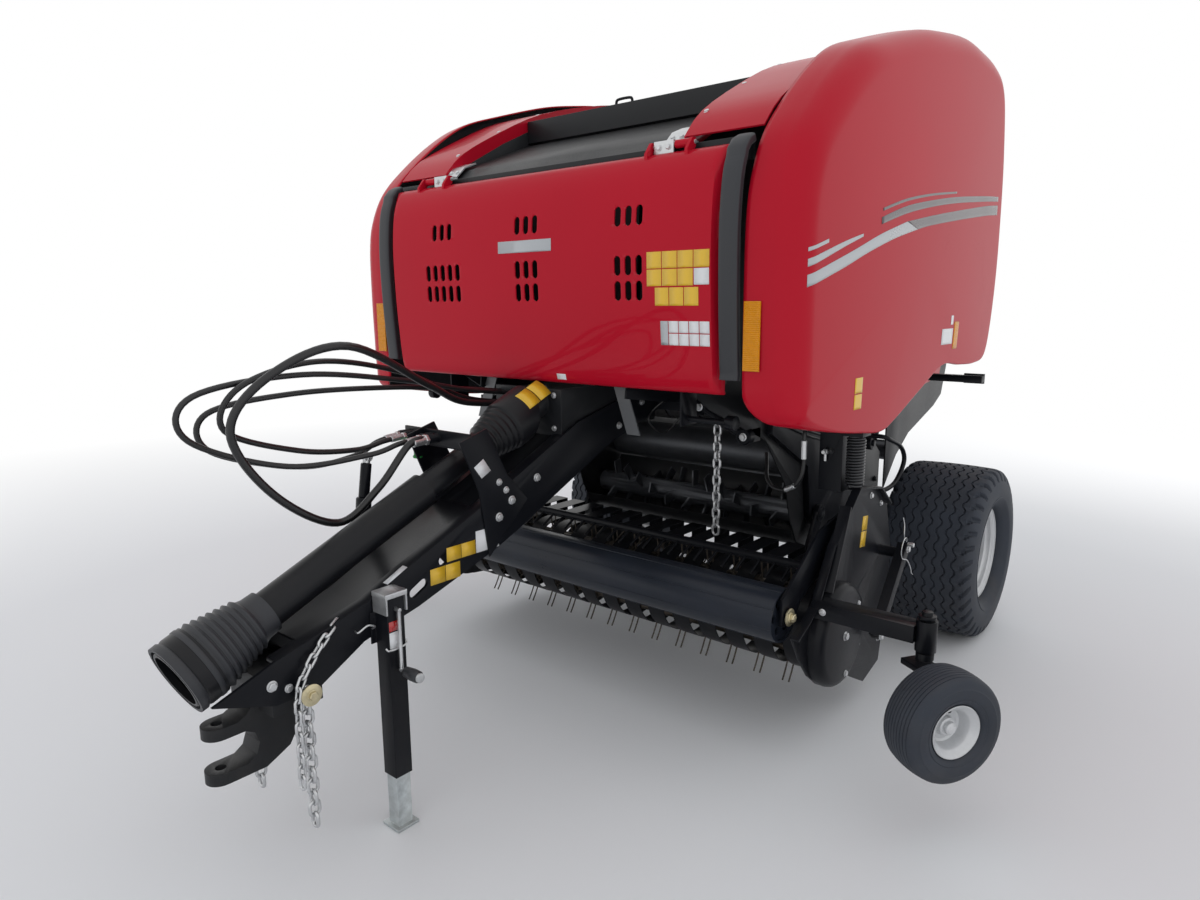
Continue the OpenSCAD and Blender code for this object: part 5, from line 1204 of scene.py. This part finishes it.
def chain(points, pitch, wire):
    """Links along a smooth path: rounded loops of wire, each a quarter turn from the one before it."""
    line = spline(points, 12)
    run = run_of(line)
    turn = np.linspace(0, TURN, 25)
    half, bow = pitch / 2 - wire * 0.6, wire * 1.15
    parts = []
    for k, s in enumerate(np.arange(pitch / 2, run[-1], pitch)):
        here, ahead = (np.array([np.interp(s + step, run, line[:, i]) for i in range(3)]) for step in (0, 5))
        way = unit(ahead - here)
        flat = unit(np.cross(way, [1.0, 0.1, 0.2]))
        side = flat if k % 2 else np.cross(way, flat)
        ring = (here + np.outer(half * np.sign(np.cos(turn)) + bow * np.cos(turn), way)
                + np.outer(bow * np.sin(turn), side))
        parts.append(tube_mesh(ring, wire / 2, 7, up=np.cross(way, side)))
    return parts


spare_chain = chain([(104, -2975, 752), (128, -3020, 738), (150, -3070, 716), (166, -3132, 664),
                     (178, -3178, 602), (183, -3189, 520), (183, -3190, 420), (182, -3192, 300)], 34, 9)
fit("spare_chain", spare_chain, "zinc_plate", "frame", sharp=60)
pin = [rod([1150, -972, 700], [1176, -972, 700], 9, 16), rod([1150, -1190, 405], [1176, -1190, 405], 9, 16)]
fit("pin_and_lanyard", [lanyard, pin_ring] + pin, "zinc_plate", "pickup", both=True)
valve_parts = [block((-206, -2760, 872), (-150, -2640, 884)),
               rod([-178, -2706, 884], [-178, -2690, 1030], 27, 28),
               rod([-178, -2690, 1030], [-178, -2672, 1150], 19, 20)]
fit("stand_valve", valve_parts, "black_paint", "frame", sharp=35)
fit("stand_valve_rod", [rod([-178, -2672, 1150], [-178, -2666, 1178], 13, 20),
                        rod([-190, -2666, 1172], [-166, -2666, 1172], 17, 20)], "zinc_plate", "frame")
knob = boss([(0, 13), (6, 17), (40, 20), (66, 19), (72, 15)], (244, -2856, 560), OUT, tip=2)
fit("crank_knob", [knob], "strip_rubber", "frame")
ferrules = []
for x, wide in ((-232, 19), (-195, 19), (-104, 19), (-66, 26)):
    ferrules += [rod([x, -2552, 1217], [x, -2496, 1221.5], 0.62 * wide, 20),
                 rod([x, -2502, 1221], [x, -2487, 1222], 0.8 * wide, 6),
                 rod([x, -2438, 1222], [x, -2404, 1222], 0.55 * wide, 20)]
fit("hose_ferrules", ferrules, "zinc_plate", "frame", sharp=30)
cap = [rod([-158, -2462, 1196], [-158, -2462, 1150], 15, 24),
       rod([-158, -2462, 1150], [-158, -2462, 1140], 19, 24),
       pipe([(-158, -2462, 1194), (-156, -2460, 1214), (-150, -2446, 1224)], 2.5, 6, 8)]
fit("dust_cap", cap, "green_cap", "frame")
clip = pipe([(209, -2898, 640), (216, -2892, 632), (216, -2860, 630), (216, -2826, 636), (208, -2820, 648)],
            3, 8, 8)
latch = pipe([(140, -2960, 700), (162, -2962, 702), (166, -2930, 716), (166, -2905, 706), (142, -2900, 690)],
             3, 8, 8)
fit("jack_clip", [clip, latch], "zinc_plate", "frame")
print("pipes, handles and fittings made")

# %% [markdown]
# ## Hydraulic hoses
# Each hose is a fixed length of rubber on one smooth curve: out of the bulkhead plate,
# over the drawbar in a loose loop, and back to its coupler.

# %% Hoses
hose_routes = [
    [[-150, -1985, 1300], [-140, -2250, 1330], [-60, -2480, 1420], [30, -2850, 1575], [-10, -3090, 1500],
     [-60, -3200, 1340], [-70, -3080, 1130], [-80, -2860, 990], [-72, -2700, 1080], [-66, -2570, 1212],
     [-66, -2486, 1222]],
    [[-175, -1985, 1340], [-180, -2200, 1370], [-170, -2500, 1430], [-160, -2900, 1480], [-170, -3250, 1440],
     [-180, -3270, 1310], [-160, -2980, 1190], [-120, -2700, 1190], [-104, -2580, 1215], [-104, -2486, 1222]],
    [[-200, -1985, 1300], [-200, -2200, 1340], [-190, -2500, 1460], [-150, -2850, 1520], [-140, -3120, 1460],
     [-160, -3170, 1330], [-190, -2920, 1230], [-195, -2700, 1200], [-195, -2580, 1215], [-195, -2486, 1222]],
    [[-220, -1985, 1345], [-230, -2200, 1370], [-240, -2500, 1400], [-260, -2880, 1410], [-290, -3160, 1370],
     [-290, -3160, 1250], [-260, -2880, 1160], [-240, -2680, 1170], [-232, -2580, 1210], [-232, -2486, 1222]],
]
hose_widths = [26, 19, 19, 19]
for k, (route, width) in enumerate(zip(hose_routes, hose_widths), 1):
    line = spline(route, 10)
    hose = fit(f"hose_{k}_rubber", [tube_mesh(line, 0.5 * width, 16)], "hose_rubber", "frame")
    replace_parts(hose, f"hose_{k}")

# %% [markdown]
# ## Floor and light
# A pale floor takes the shadow and fades into a white surround. One broad soft
# lamp from the camera's left and two weaker ones, from its right and from behind the
# machine, stand for the bright overcast sky.

# %% Floor, world and lamps
floor_half, floor_z = 60.0, -0.001
fade_start, fade_end = 3.5, 9.0
floor_mesh = bpy.data.meshes.new("floor")
floor_corners = rect(-floor_half, -floor_half, floor_half, floor_half)
floor_mesh.from_pydata([(x, y, floor_z) for x, y in floor_corners], [], [(0, 1, 2, 3)])
floor = bpy.data.objects.new("floor", floor_mesh)
bpy.context.scene.collection.objects.link(floor)
floor_finish = bpy.data.materials.new("pale_floor")
floor_finish.use_nodes = True
tree = floor_finish.node_tree
pale = tree.nodes["Principled BSDF"]
feed(tree, pale, {"Base Color": (0.84, 0.84, 0.84, 1.0), "Roughness": 0.9})
far = add(tree, "VectorMath", {0: add(tree, "TexCoord", out="Object")}, "Value", operation="LENGTH")
fade = add(tree, "MapRange", {"Value": far, "From Min": fade_start, "From Max": fade_end})
blend = add(tree, "MixShader", {0: fade, 1: pale.outputs[0], 2: add(tree, "Emission", {"Strength": 1.0})})
feed(tree, tree.nodes["Material Output"], {"Surface": blend})
floor_mesh.materials.append(floor_finish)

world = bpy.data.worlds.new("surround")
bpy.context.scene.world = world
world.use_nodes = True
tree = world.node_tree
sky = tree.nodes["Background"]
feed(tree, sky, {"Color": (0.94, 0.96, 1.0, 1.0), "Strength": 0.85})
seen = add(tree, "Background", {"Color": (1.0, 1.0, 1.0, 1.0), "Strength": 1.0})
ray = add(tree, "LightPath", out=None).outputs
through = add(tree, "Math", {0: ray["Is Glossy Ray"], 1: ray["Is Transmission Ray"]}, operation="ADD")
direct = add(tree, "Math", {0: ray["Is Camera Ray"], 1: through}, operation="ADD", use_clamp=True)
surround = add(tree, "MixShader", {0: direct, 1: sky.outputs[0], 2: seen})
feed(tree, tree.nodes["World Output"], {"Surface": surround})


def soft_lamp(name, place, aim, size, power):
    """A square area lamp at place that points at aim."""
    data = bpy.data.lights.new(name, "AREA")
    data.shape = "SQUARE"
    data.size = size
    data.energy = power
    lamp = bpy.data.objects.new(name, data)
    bpy.context.scene.collection.objects.link(lamp)
    way = np.asarray(aim, float) - np.asarray(place, float)
    yaw = math.atan2(way[0], -way[1])
    tilt = math.atan2(math.hypot(way[0], way[1]), -way[2])
    lamp.matrix_world = (Matrix.Translation(place) @ Matrix.Rotation(yaw, 4, "Z")
                         @ Matrix.Rotation(tilt, 4, "X"))
    return lamp


soft_lamp("key_lamp", (-3.5, -7.0, 6.5), (0, 0, 1.0), 5.0, 900)
soft_lamp("fill_lamp", (7.0, -2.0, 4.5), (0, 0, 1.2), 5.0, 380)
soft_lamp("back_lamp", (2.0, 7.5, 6.0), (0, 0, 1.5), 5.0, 380)
